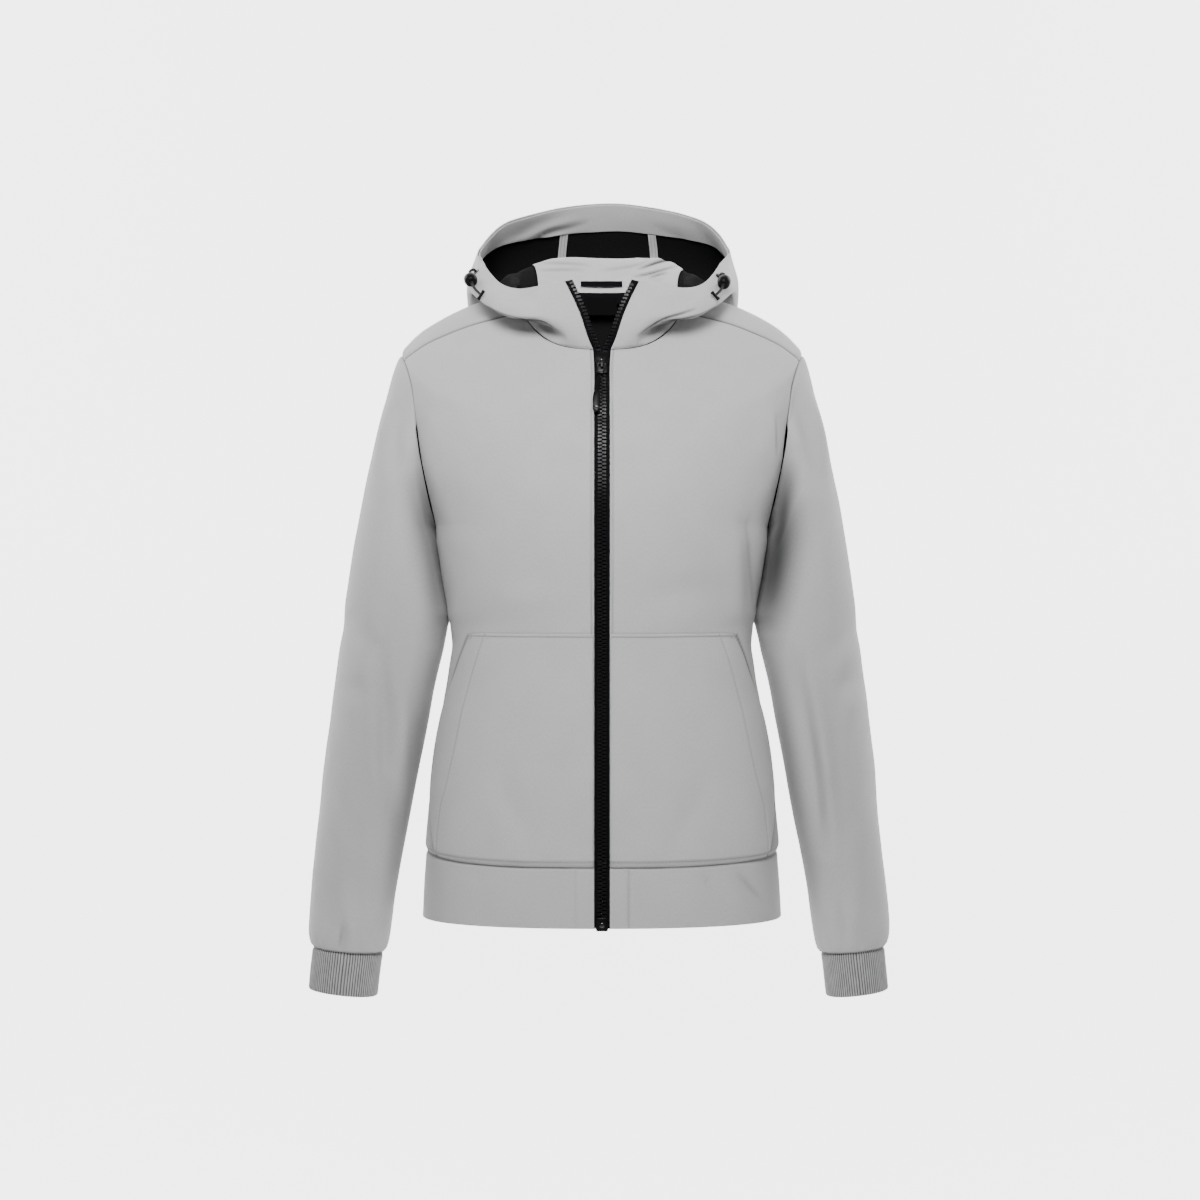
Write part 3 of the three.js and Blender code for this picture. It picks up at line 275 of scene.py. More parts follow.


# folds placed one by one
# Each fold is a line across the cloth as seen from one side: front and back lines are X, Z, side
# lines Y, Z. depth in mm is how far the cloth goes in (a ridge's depth is below zero), width its
# half width, lean how much its one bank stands up beside it.
# Columns: view, depth, width, lean, line
FOLDS = {
    "body": [
        ("front", 4.2, 11, 0.5, [(150, -222), (146, -238), (149, -270), (155, -325), (157, -352)]),
        ("front", -2.6, 12, 0, [(132, -232), (134, -262), (141, -318), (146, -345)]),
        ("front", 1.9, 12, 0, [(-147, -188), (-144, -240), (-140, -292)]),
        ("front", 3.5, 9, 0.6, [(181, -122), (183, -142), (180, -166)]),
        ("front", -2.6, 10, 0, [(165, -110), (166, -142), (161, -178)]),
        ("front", 2.9, 9, 0.5, [(-184, -124), (-182, -146), (-176, -172)]),
        ("front", 1.8, 16, 0.3, [(60, -96), (88, -118), (104, -150)]),
        ("front", 1.4, 16, 0.3, [(-64, -92), (-92, -112), (-110, -140)]),
        ("front", 1.9, 15, 0.4, [(-150, -330), (-112, -342), (-70, -345)]),
        ("front", 1.8, 15, 0.4, [(148, -335), (108, -346), (66, -347)]),
        ("front", -1.9, 14, 0, [(-120, -300), (-70, -312), (-30, -310)]),
        ("front", 1.6, 14, 0.4, [(118, -296), (70, -306), (34, -304)]),
        ("front", 2.2, 11, 0.4, [(-60, -560), (-90, -520), (-104, -470)]),
        ("front", 1.9, 12, 0.4, [(66, -560), (92, -524), (108, -480)]),
        ("front", 1.4, 18, 0.2, [(-100, -440), (-60, -470), (-30, -480)]),
        ("back", 2.9, 15, 0.5, [(-140, -330), (-70, -348), (0, -352), (70, -346), (138, -330)]),
        ("back", 2.1, 16, 0.5, [(-120, -385), (-50, -398), (30, -396), (110, -380)]),
        ("back", -2.2, 18, 0, [(-110, -300), (-40, -316), (40, -314), (112, -298)]),
        ("back", 2.6, 13, 0.4, [(-150, -130), (-128, -175), (-118, -230)]),
        ("back", 2.6, 13, 0.4, [(152, -132), (130, -180), (122, -236)]),
        ("back", 1.9, 16, 0.3, [(-60, -560), (-86, -510), (-92, -450)]),
        ("back", 1.9, 16, 0.3, [(72, -560), (94, -505), (96, -452)]),
        ("back", 2.1, 20, 0.3, [(-30, -150), (-18, -220), (-22, -290)]),
        ("side", 1.2, 12, 0.5, [(-60, -352), (-10, -360), (50, -356)]),
        ("side", 0.9, 13, 0.5, [(-50, -300), (0, -322), (52, -318)]),
        ("side", 0.8, 14, 0.4, [(-30, -440), (20, -430), (60, -420)]),
    ],
    "hem": [
        ("front", 2.6, 6, 0.5, [(138, -588), (149, -601), (158, -612)]),
        ("front", 1.6, 7, 0.5, [(100, -584), (108, -600)]),
        ("front", 1.8, 6, 0.5, [(-120, -585), (-128, -602)]),
        ("front", 1.3, 7, 0.4, [(-60, -584), (-64, -600)]),
        ("back", 2.1, 7, 0.5, [(-90, -585), (-84, -606)]),
        ("back", 1.9, 7, 0.5, [(60, -585), (66, -604)]),
        ("back", 1.6, 7, 0.5, [(130, -585), (124, -602)]),
    ],
    "sleeve_left": [
        ("front", 7.0, 13, 0.2, [(168, -196), (166, -240), (163, -290), (162, -330)]),
        ("front", 5.4, 8, 0.6, [(199, -378), (208, -420), (213, -462), (220, -540), (222, -565)]),
        ("front", -3.8, 9, 0, [(204, -378), (216, -430), (228, -480), (234, -540)]),
        ("front", 3.8, 9, 0.7, [(199, -98), (206, -128), (213, -160), (219, -196)]),
        ("front", -2.9, 10, 0, [(213, -96), (221, -130), (229, -170)]),
        ("front", 2.6, 12, 0.5, [(262, -330), (248, -352), (226, -366)]),
        ("front", 2.6, 12, 0.5, [(268, -385), (254, -398), (236, -404)]),
        ("front", -2.6, 11, 0, [(247, -622), (254, -650), (258, -668)]),
        ("front", 2.2, 9, 0.5, [(236, -600), (242, -640), (244, -664)]),
        ("front", 1.9, 10, 0.4, [(280, -560), (272, -610), (274, -650)]),
        ("back", 3.5, 12, 0.6, [(180, -300), (215, -336), (254, -338)]),
        ("back", 2.9, 12, 0.5, [(190, -388), (226, -384), (262, -366)]),
        ("back", 2.6, 12, 0.4, [(230, -140), (214, -190), (208, -250)]),
        ("back", 2.2, 12, 0.4, [(250, -460), (240, -530), (246, -590)]),
        ("side", 1.0, 13, 0.5, [(-30, -330), (10, -345), (50, -352)]),
        ("side", 0.8, 15, 0.4, [(-40, -470), (-20, -540), (-28, -600)]),
    ],
    "sleeve_right": [
        ("front", 5.0, 12, 0.2, [(-168, -200), (-166, -244), (-163, -292), (-162, -330)]),
        ("front", 5.1, 8, 0.6, [(-229, -362), (-222, -420), (-219, -480), (-213, -540), (-210, -560)]),
        ("front", -3.5, 9, 0, [(-194, -366), (-203, -430), (-216, -500), (-219, -560)]),
        ("front", 3.5, 9, 0.6, [(-206, -106), (-211, -140), (-214, -180)]),
        ("front", -2.6, 11, 0, [(-222, -104), (-228, -150), (-232, -190)]),
        ("front", 2.6, 12, 0.5, [(-264, -322), (-250, -346), (-230, -356)]),
        ("front", 2.2, 12, 0.5, [(-272, -392), (-256, -404), (-240, -408)]),
        ("front", 3.2, 6, 0.6, [(-264, -640), (-266, -656), (-268, -672)]),
        ("front", -2.2, 8, 0, [(-254, -634), (-256, -664)]),
        ("front", 1.9, 11, 0.4, [(-286, -560), (-280, -610), (-284, -650)]),
        ("back", 3.5, 12, 0.6, [(-180, -304), (-215, -338), (-254, -342)]),
        ("back", 2.9, 12, 0.5, [(-190, -390), (-226, -388), (-262, -372)]),
        ("back", 2.6, 12, 0.4, [(-232, -142), (-216, -194), (-210, -252)]),
        ("back", 2.2, 12, 0.4, [(-252, -460), (-243, -532), (-249, -588)]),
        ("side", 1.0, 13, 0.5, [(-30, -326), (10, -342), (50, -350)]),
        ("side", 0.8, 15, 0.4, [(-40, -466), (-20, -536), (-28, -596)]),
    ],
    "hood": [
        ("front", 2.6, 7, 0.6, [(-118, 42), (-110, 58)]),
        ("front", 2.9, 8, 0.5, [(-110, 55), (-92, 66), (-58, 77), (-34, 81), (-18, 84)]),
        ("front", 1.6, 12, 0.4, [(40, 66), (80, 50), (112, 30)]),
        ("front", 2.2, 8, 0.5, [(-60, -22), (-72, -10), (-92, 0)]),
        ("front", 1.9, 8, 0.5, [(64, -22), (84, -10), (104, -2)]),
        ("back", 3.2, 14, 0.5, [(-60, -60), (-20, -74), (30, -72), (72, -54)]),
        ("back", 2.6, 14, 0.5, [(-84, 0), (-40, -14), (10, -14), (50, -2)]),
        ("back", 2.6, 16, 0.4, [(80, 40), (60, 0), (56, -40)]),
        ("back", 2.2, 16, 0.4, [(-84, 40), (-66, 6), (-58, -30)]),
        ("side", 1.2, 13, 0.5, [(30, 30), (70, 0), (104, -30)]),
        ("side", 0.9, 13, 0.5, [(20, 10), (50, -18), (84, -60)]),
    ],
}
# Painted shade along lines: sharp creases, the bank of the hood on the shoulders, the narrow room
# between body and sleeves, and a broad painted shade down the sleeves where less light reaches them.
# Columns: view, shade, half width, line
SHADE_LINES = {
    "hood": [
        ("front", 0.95, 1.5, [(37, -47), (47, -41), (64, -30), (78, -25), (94, -19)]),
        ("front", 0.85, 1.5, [(-42, -47), (-50, -41), (-60, -35), (-74, -30)]),
    ],
    "sleeve_left": [
        ("front", 0.17, 34, [(206, -260), (222, -400), (240, -520), (254, -640)]),
        ("front", 1.0, 13, [(190, -160), (189, -195), (184, -236), (179, -270), (172, -310), (168, -338)]),
        ("front", 1.0, 22, [(192, -195), (188, -225), (181, -260), (175, -295), (170, -330), (169, -352)]),
        ("front", 0.42, 15, [(166, -345), (176, -400), (188, -460), (202, -550), (216, -640)]),
        ("front", 0.16, 8, [(200, -98), (207, -128), (214, -160), (219, -196)]),
        ("front", 0.12, 6, [(238, -600), (243, -640), (245, -664)]),
    ],
    "sleeve_right": [
        ("front", 0.2, 34, [(-206, -260), (-222, -400), (-240, -520), (-254, -640)]),
        ("front", 0.8, 9,
         [(-186, -165), (-185, -192), (-176, -238), (-169, -278), (-163, -318), (-162, -342)]),
        ("front", 0.6, 16,
         [(-190, -170), (-188, -200), (-180, -240), (-172, -280), (-166, -330), (-168, -365)]),
        ("front", 0.42, 14, [(-166, -345), (-176, -400), (-190, -460), (-204, -550), (-218, -640)]),
        ("front", 0.20, 9, [(-228, -372), (-222, -420), (-219, -480), (-213, -540)]),
        ("front", 0.3, 2.0, [(-264, -642), (-266, -656), (-268, -668)]),
    ],
    "facing": [
        ("front", 0.72, 2.2, [(-127, 42), (-114, 67)]),
        ("front", 0.62, 2.2, [(-116, 59), (-98, 75), (-81, 82), (-62, 92), (-38, 98), (-18, 104)]),
        ("front", 0.25, 4.0, [(-104, 84), (-80, 98), (-52, 109)]),
        ("front", 0.2, 3.5, [(60, 100), (88, 86), (106, 66)]),
    ],
    "band": [
        ("front", 0.85, 1.5, [(82, 44), (62, 44), (40, 39.5)]),
        ("front", 0.7, 1.4, [(80, 37), (57, 33.5), (34, 31)]),
        ("front", 0.55, 1.3, [(72, 31), (52, 28.5)]),
        ("front", 0.5, 1.3, [(76, 49), (60, 51), (44, 49)]),
        ("front", 0.28, 1.8, [(-68, 43), (-45, 45), (-13, 44)]),
        ("front", 0.25, 1.8, [(-71, 35), (-45, 38), (-18, 39)]),
        ("front", 0.25, 1.8, [(-2, 38), (30, 42), (56, 48)]),
    ],
    "body": [
        ("front", 0.45, 1.8, [(176, -122), (179, -146), (178, -166)]),
        ("front", 0.85, 2.6, [(62, -31), (72, -25), (84, -19), (100, -13), (121, -10), (140, -8)]),
        ("front", 0.75, 2.4, [(-38, -48), (-48, -40), (-61, -31), (-85, -23), (-116, -15), (-140, -10)]),
        ("front", 0.3, 2.0, [(151, -224), (147, -238), (150, -268), (155, -325)]),
    ],
    "hem": [
        ("front", 0.3, 2.2, [(136, -586), (149, -600), (161, -615)]),
        ("front", 0.14, 2.2, [(100, -584), (108, -600)]),
    ],
}
VIEWS = {
    "front": (0, 2, lambda n: -n[..., 1]),
    "back": (0, 2, lambda n: n[..., 1]),
    "side": (1, 2, lambda n: np.abs(n[..., 0])),
}


def line_distance(u, v, line):
    """Distance from points to a bent line, the side each lies on, and its share along the line."""
    line = np.asarray(line, float)
    # a smooth line through the knots
    at = np.linspace(0, len(line) - 1, 8 * (len(line) - 1) + 1)
    line = read_table(line, at)
    steps = np.linalg.norm(np.diff(line, axis=0), axis=1)
    before = np.concatenate([[0], np.cumsum(steps)])
    best = np.full(u.shape, 1e9)
    side = np.zeros(u.shape)
    along = np.zeros(u.shape)
    for k in range(len(steps)):
        a, b = line[k], line[k + 1]
        d = b - a
        t = np.clip(((u - a[0]) * d[0] + (v - a[1]) * d[1]) / max(steps[k] ** 2, 1e-9), 0, 1)
        px, py = u - (a[0] + t * d[0]), v - (a[1] + t * d[1])
        dist = np.hypot(px, py)
        near = dist < best
        best = np.where(near, dist, best)
        side = np.where(near, d[0] * py - d[1] * px, side)
        along = np.where(near, (before[k] + t * steps[k]) / before[-1], along)
    return best, np.sign(side), along


def line_shade(name, points, normals):
    """Shade held along the lines of the table: full on a line, gone two half widths away."""
    total = np.zeros(points.shape[:-1])
    for view, strength, width, line in SHADE_LINES.get(name, []):
        a, b, facing = VIEWS[view]
        weight = np.clip(facing(normals) * 3 + (0.7 if width > 6 else 0), 0, 1)
        d, _, along = line_distance(points[..., a], points[..., b], line)
        ends = np.sin(np.pi * np.clip(along, 0.03, 0.97)) ** 0.6
        total = np.maximum(total, strength * np.exp(-(d / width) ** 2) * ends * weight)
    return total


def fold_depth(name, points, normals):
    total = np.zeros(points.shape[:-1])
    for view, depth, width, lean, line in FOLDS.get(name, []):
        a, b, facing = VIEWS[view]
        weight = np.clip(facing(normals) * 2.2 - 0.15, 0, 1)
        d, side, along = line_distance(points[..., a], points[..., b], line)
        q = d / width
        shape = np.exp(-q * q) - lean * np.exp(-(q - 1.9) ** 2 * 1.2) * (0.6 + 0.4 * side)
        ends = np.sin(np.pi * np.clip(along, 0.02, 0.98)) ** 0.55
        total += depth * shape * ends * weight
    return total


def soft_waves(points, size, seed):
    """Slow unevenness of hanging cloth, the same each time."""
    p = points / size
    total = np.zeros(points.shape[:-1])
    for k in range(9):
        a = seed * 1.7 + k * 2.399
        b = seed * 0.6 + k * 1.13
        way = np.array([math.cos(a) * math.cos(b), math.sin(a) * math.cos(b), 0.55 * math.sin(b)])
        total += np.sin((p @ way) * (1 + 0.23 * k) * 2.1 + seed * 3.1 + k * 1.9) / (1 + 0.16 * k)
    return total / 4.5


def lines_between(from_value, to_value, length, pitch, first=True, last=True, marks=()):
    """Places along a side, close together next to a sewn edge so that it can roll in, and at the
    marks, which are distances along the side where a row of stitches draws the cloth in."""
    near = np.array([0, 0.4, 1.0, 1.9, 3.2, 5.0]) * min(1.0, length / 14)
    start, stop = (near[-1] if first else 0), length - (near[-1] if last else 0)
    count = max(2, int(round((stop - start) / pitch)))
    places = np.linspace(start, stop, count + 1)
    for mark in marks:
        places = places[np.abs(places - mark) > 2.4]
        places = np.concatenate([places, mark + np.array([-2.0, -1.1, -0.4, 0.4, 1.1, 2.0])])
    if first:
        places = np.concatenate([near[:-1], places])
    if last:
        places = np.concatenate([places, length - near[:-1]])
    return from_value + (to_value - from_value) * np.sort(places) / length


def edge_roll(distance, depth=1.5, reach=2.1):
    return depth * np.exp(-(distance / reach) ** 2)


def drawn_in(distance, mark, depth=0.55, reach=0.95):
    """Trough that a row of stitches leaves at one distance from an edge."""
    return depth * np.exp(-((distance - mark) / reach) ** 2)


# materials
def group_of(name, outputs):
    tree = bpy.data.node_groups.new(name, "ShaderNodeTree")
    for label, kind in outputs:
        tree.interface.new_socket(name=label, in_out="OUTPUT", socket_type=kind)
    return tree, tree.nodes, tree.links, tree.nodes.new("NodeGroupOutput")


FACE_OUTPUTS = [("Colour", "NodeSocketColor"), ("Normal", "NodeSocketVector")]


def cloth_place(nodes, links, scale):
    read = nodes.new("ShaderNodeAttribute")
    read.attribute_name = "cloth_map"
    place = nodes.new("ShaderNodeMapping")
    place.inputs["Scale"].default_value = scale
    links.new(read.outputs["Vector"], place.inputs["Vector"])
    return place.outputs["Vector"]


def noise_of(nodes, links, vector, scale, detail=3.0, roughness=0.55):
    n = nodes.new("ShaderNodeTexNoise")
    n.inputs["Scale"].default_value = scale
    n.inputs["Detail"].default_value = detail
    n.inputs["Roughness"].default_value = roughness
    links.new(vector, n.inputs["Vector"])
    return n.outputs["Fac"]


def join(nodes, links, kind, a, b):
    n = nodes.new("ShaderNodeMath")
    n.operation = kind
    for socket, value in zip(n.inputs, (a, b)):
        if isinstance(value, (int, float)):
            socket.default_value = value
        else:
            links.new(value, socket)
    return n.outputs["Value"]


def mix_colours(nodes, links, low, high, fac):
    ramp = nodes.new("ShaderNodeValToRGB")
    ramp.color_ramp.elements[0].position = 0.3
    ramp.color_ramp.elements[1].position = 0.7
    ramp.color_ramp.elements[0].color = (*low, 1)
    ramp.color_ramp.elements[1].color = (*high, 1)
    links.new(fac, ramp.inputs["Fac"])
    return ramp.outputs["Color"]


def bump_of(nodes, links, height, distance, strength=1.0):
    bump = nodes.new("ShaderNodeBump")
    bump.inputs["Strength"].default_value = strength
    bump.inputs["Distance"].default_value = distance
    links.new(height, bump.inputs["Height"])
    return bump.outputs["Normal"]


def heather_group():
    """Fine heathered knit face: short dashes along the wales, with a slow drift of tone."""
    tree, nodes, links, out = group_of("heather_knit_face", FACE_OUTPUTS)
    dashes = noise_of(nodes, links, cloth_place(nodes, links, (900, 340, 1)), 1.0, 4.0, 0.65)
    drift = noise_of(nodes, links, cloth_place(nodes, links, (26, 20, 1)), 1.0, 2.0)
    tone = join(nodes, links, "ADD", join(nodes, links, "MULTIPLY", dashes, 0.8),
                join(nodes, links, "MULTIPLY", drift, 0.2))
    colour = mix_colours(nodes, links, (0.385, 0.387, 0.388), (0.487, 0.489, 0.488), tone)
    # painted shade: a mask on the cloth darkens the colour towards near black at seams, stitches, creases and
    # other places where shade falls
    painted_shade_node = nodes.new("ShaderNodeAttribute")
    painted_shade_node.attribute_name = "painted_shade"
    sunk = nodes.new("ShaderNodeMix")
    sunk.data_type = "RGBA"
    links.new(painted_shade_node.outputs["Fac"], sunk.inputs["Factor"])
    links.new(colour, sunk.inputs["A"])
    sunk.inputs["B"].default_value = (0.035, 0.035, 0.036, 1)
    links.new(sunk.outputs["Result"], out.inputs["Colour"])
    wales = nodes.new("ShaderNodeTexWave")
    wales.inputs["Scale"].default_value = 0.5
    wales.inputs["Distortion"].default_value = 1.5
    links.new(cloth_place(nodes, links, (1250, 1250, 1)), wales.inputs["Vector"])
    height = join(nodes, links, "ADD", dashes, join(nodes, links, "MULTIPLY", wales.outputs["Fac"], 0.5))
    links.new(bump_of(nodes, links, height, 0.00012, 0.55), out.inputs["Normal"])
    return tree


def rib_group():
    """Rib knit: painted shade darkens the grooves between the wales, with small loops along them."""
    tree, nodes, links, out = group_of("rib_knit_face", FACE_OUTPUTS)
    read = nodes.new("ShaderNodeAttribute")
    read.attribute_name = "rib_height"
    loops = noise_of(nodes, links, cloth_place(nodes, links, (700, 900, 1)), 1.0, 3.0, 0.6)
    drift = noise_of(nodes, links, cloth_place(nodes, links, (90, 60, 1)), 1.0, 2.0)
    tone = join(nodes, links, "ADD", join(nodes, links, "MULTIPLY", read.outputs["Fac"], 0.5),
                join(nodes, links, "MULTIPLY", join(nodes, links, "ADD", loops, drift), 0.28))
    colour = mix_colours(nodes, links, (0.11, 0.111, 0.112), (0.40, 0.402, 0.402), tone)
    links.new(colour, out.inputs["Colour"])
    links.new(bump_of(nodes, links, loops, 0.0002, 0.7), out.inputs["Normal"])
    return tree


def inside_group():
    """Brushed black back of the bonded cloth."""
    tree, nodes, links, out = group_of("brushed_black_back", FACE_OUTPUTS)
    fuzz = noise_of(nodes, links, cloth_place(nodes, links, (420, 420, 1)), 1.0, 4.0, 0.7)
    colour = mix_colours(nodes, links, (0.008, 0.008, 0.0083), (0.012, 0.012, 0.0125), fuzz)
    links.new(colour, out.inputs["Colour"])
    links.new(bump_of(nodes, links, fuzz, 0.0003, 0.6), out.inputs["Normal"])
    return tree


def woven_group(name, low, high, pitch):
    """Plain narrow weave: warp and weft ridges crossing."""
    tree, nodes, links, out = group_of(name, FACE_OUTPUTS)
    waves = []
    for direction in ("X", "Y"):
        wave = nodes.new("ShaderNodeTexWave")
        wave.bands_direction = direction
        wave.inputs["Scale"].default_value = 0.314
        links.new(cloth_place(nodes, links, (1 / pitch, 1 / pitch, 1)), wave.inputs["Vector"])
        waves.append(wave.outputs["Fac"])
    weave = join(nodes, links, "MULTIPLY", waves[0], waves[1])
    grain = noise_of(nodes, links, cloth_place(nodes, links, (500, 500, 1)), 1.0)
    tone = join(nodes, links, "ADD", join(nodes, links, "MULTIPLY", weave, 0.5),
                join(nodes, links, "MULTIPLY", grain, 0.5))
    links.new(mix_colours(nodes, links, low, high, tone), out.inputs["Colour"])
    links.new(bump_of(nodes, links, weave, 0.0002, 0.7), out.inputs["Normal"])
    return tree


def braid_group():
    """Round braid: two sets of strands crossing on the cord."""
    tree, nodes, links, out = group_of("cord_braid_strands", FACE_OUTPUTS)
    waves = []
    for turn in (0.7, -0.7):
        wave = nodes.new("ShaderNodeTexWave")
        wave.inputs["Scale"].default_value = 0.314
        read = nodes.new("ShaderNodeAttribute")
        read.attribute_name = "cloth_map"
        place = nodes.new("ShaderNodeMapping")
        place.inputs["Scale"].default_value = (1100, 1100, 1)
        place.inputs["Rotation"].default_value = (0, 0, turn)
        links.new(read.outputs["Vector"], place.inputs["Vector"])
        links.new(place.outputs["Vector"], wave.inputs["Vector"])
        waves.append(wave.outputs["Fac"])
    weave = join(nodes, links, "MAXIMUM", waves[0], waves[1])
    colour = mix_colours(nodes, links, (0.006, 0.006, 0.007), (0.02, 0.02, 0.021), weave)
    links.new(colour, out.inputs["Colour"])
    links.new(bump_of(nodes, links, weave, 0.0003, 0.8), out.inputs["Normal"])
    return tree


def gloss_group(name, grain_scale, least, spread):
    """Moulded plastic: very fine unevenness of gloss between two values."""
    tree, nodes, links, out = group_of(name, [("Gloss", "NodeSocketFloat")])
    read = nodes.new("ShaderNodeTexCoord")
    grain = noise_of(nodes, links, read.outputs["Object"], grain_scale, 2.0)
    uneven = join(nodes, links, "ADD", join(nodes, links, "MULTIPLY", grain, spread), least)
    links.new(uneven, out.inputs["Gloss"])
    return tree


def cloth_material(name, tree, roughness, sheen=0.0, tint=None, shine=0.3):
    m = bpy.data.materials.new(name)
    m.use_nodes = True
    nodes, links = m.node_tree.nodes, m.node_tree.links
    shader = nodes["Principled BSDF"]
    shader.inputs["Roughness"].default_value = roughness
    shader.inputs["Specular IOR Level"].default_value = shine
    if sheen:
        shader.inputs["Sheen Weight"].default_value = sheen
        shader.inputs["Sheen Roughness"].default_value = 0.5
    face = nodes.new("ShaderNodeGroup")
    face.node_tree = tree
    colour = face.outputs["Colour"]
    if tint is not None:
        mix = nodes.new("ShaderNodeMix")
        mix.data_type = "RGBA"
        mix.blend_type = "MULTIPLY"
        mix.inputs["Factor"].default_value = 1.0
        links.new(colour, mix.inputs["A"])
        mix.inputs["B"].default_value = (*tint, 1)
        colour = mix.outputs["Result"]
    links.new(colour, shader.inputs["Base Color"])
    links.new(face.outputs["Normal"], shader.inputs["Normal"])
    return m


def plastic_material(name, colour, tree, shine):
    m = bpy.data.materials.new(name)
    m.use_nodes = True
    nodes, links = m.node_tree.nodes, m.node_tree.links
    shader = nodes["Principled BSDF"]
    shader.inputs["Base Color"].default_value = (*colour, 1)
    shader.inputs["Specular IOR Level"].default_value = shine
    face = nodes.new("ShaderNodeGroup")
    face.node_tree = tree
    links.new(face.outputs["Gloss"], shader.inputs["Roughness"])
    return m


heather = heather_group()
softshell = cloth_material("softshell", heather, 0.86, 0.15)
# the shell cloth painted lighter: painted light on the hood's facing and neck band
softshell_painted_lighter = cloth_material("softshell_painted_lighter", heather, 0.86, 0.15, (1.3, 1.3, 1.3))
seam_tape = cloth_material("seam_tape", heather, 0.8, 0.1, (1.5, 1.5, 1.5))
softshell_inside = cloth_material("softshell_inside", inside_group(), 0.95, shine=0.05)
rib_knit = cloth_material("rib_knit", rib_group(), 0.95, 0.1)
tape_weave = woven_group("tape_weave", (0.005, 0.005, 0.006), (0.010, 0.010, 0.011), 0.0009)
tape_cloth = cloth_material("tape_cloth", tape_weave, 0.9, shine=0.02)
label_weave = woven_group("label_weave", (0.003, 0.003, 0.0035), (0.006, 0.006, 0.0065), 0.0004)
label_cloth = cloth_material("label_cloth", label_weave, 0.7, shine=0.05)
cord_braid = cloth_material("cord_braid", braid_group(), 0.7, shine=0.15)
moulded_gloss = gloss_group("moulded_gloss", 900, 0.24, 0.18)
moulded = plastic_material("moulded", (0.006, 0.006, 0.0065), moulded_gloss, 0.16)
glossy_moulded = plastic_material("glossy_moulded", (0.004, 0.004, 0.0045), moulded_gloss, 0.10)
polished_gloss = gloss_group("polished_gloss", 700, 0.1, 0.06)
polished_boss = plastic_material("polished_boss", (0.01, 0.01, 0.011), polished_gloss, 0.9)
thread_grey = bpy.data.materials.new("thread_grey")
thread_grey.use_nodes = True
thread_shader = thread_grey.node_tree.nodes["Principled BSDF"]
thread_shader.inputs["Base Color"].default_value = (0.43, 0.43, 0.43, 1)
thread_shader.inputs["Roughness"].default_value = 0.8


# building cloth from grids
def row_distances(points):
    """Distance of every point from the first and last column, and from the first and last row."""
    across = np.concatenate([np.zeros((len(points), 1)),
                             np.cumsum(np.linalg.norm(np.diff(points, axis=1), axis=-1), 1)], 1)
    up = np.concatenate([np.zeros((1, points.shape[1])),
                         np.cumsum(np.linalg.norm(np.diff(points, axis=0), axis=-1), 0)], 0)
    return across, across[:, -1:] - across, up, up[-1:] - up


def grid_normals(points, ring=False):
    if ring:
        across = np.roll(points, -1, 1) - np.roll(points, 1, 1)
    else:
        across = np.gradient(points, axis=1)
    return unit(np.cross(across, np.gradient(points, axis=0)))


def wall_mesh(name, outer, inner, ring=False, edge_material=0, shade=None, turned=None, both=False):
    rows, columns = outer.shape[:2]
    count = rows * columns
    vertices = np.concatenate([outer.reshape(-1, 3), inner.reshape(-1, 3)]) * MM
    index = np.arange(count).reshape(rows, columns)
    if ring:
        index = np.concatenate([index, index[:, :1]], 1)
    a, b, c, d = index[:-1, :-1], index[:-1, 1:], index[1:, 1:], index[1:, :-1]
    face = np.stack([a, b, c, d], -1).reshape(-1, 4)
    back = np.stack([a, d, c, b], -1).reshape(-1, 4) + count
    low, high = index[0], index[-1]
    rims = [np.stack([low[:-1], low[:-1] + count, low[1:] + count, low[1:]], -1),
            np.stack([high[:-1], high[1:], high[1:] + count, high[:-1] + count], -1)]
    if not ring:
        left, right = index[:, 0], index[:, -1]
        rims.append(np.stack([left[:-1], left[1:], left[1:] + count, left[:-1] + count], -1))
        rims.append(np.stack([right[:-1], right[:-1] + count, right[1:] + count, right[1:]], -1))
    rim = np.concatenate(rims)
    faces = np.concatenate([face, back, rim])
    back_slot = np.ones(len(back))
    if turned is not None:
        back_slot = 1 - turned[:-1, :back.shape[0] // (rows - 1)].reshape(-1)
    slots = np.concatenate([np.zeros(len(face)), back_slot, np.full(len(rim), edge_material)])
    p = vertices[faces]
    volume = np.einsum("ij,ij->i", p[:, 0], np.cross(p[:, 1], p[:, 2])).sum()
    volume += np.einsum("ij,ij->i", p[:, 0], np.cross(p[:, 2], p[:, 3])).sum()
    if volume < 0:
        faces = faces[:, ::-1]
    mesh = bpy.data.meshes.new(name)
    mesh.from_pydata(vertices.tolist(), [], faces.tolist())
    mesh.polygons.foreach_set("material_index", slots.astype(np.int32))
    across, _, up, _ = row_distances(outer)
    across = across - across.mean(1, keepdims=True)
    flat = np.stack([across, up, np.zeros_like(up)], -1).reshape(-1, 3) * MM
    store = mesh.attributes.new("cloth_map", "FLOAT_VECTOR", "POINT")
    store.data.foreach_set("vector", np.concatenate([flat, flat]).astype(np.float32).ravel())
    if shade is not None:
        store = mesh.attributes.new("painted_shade", "FLOAT", "POINT")
        flat = np.clip(shade, 0, 1).reshape(-1)
        store.data.foreach_set("value", np.concatenate([flat, both * flat]).astype(np.float32))
    return add_object(name, mesh)


def add_object(name, mesh, smooth_angle=55):
    piece = bpy.data.objects.new(name, mesh)
    stage_collection.objects.link(piece)
    bpy.ops.object.select_all(action="DESELECT")
    piece.select_set(True)
    bpy.context.view_layer.objects.active = piece
    bpy.ops.object.shade_smooth_by_angle(angle=math.radians(smooth_angle))
    piece.select_set(False)
    return piece


def finish_piece(piece, materials, node, body="garment"):
    for m in materials:
        piece.data.materials.append(m)
    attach(piece, body)
    if node:
        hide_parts(*([node] if isinstance(node, str) else node))
    return piece


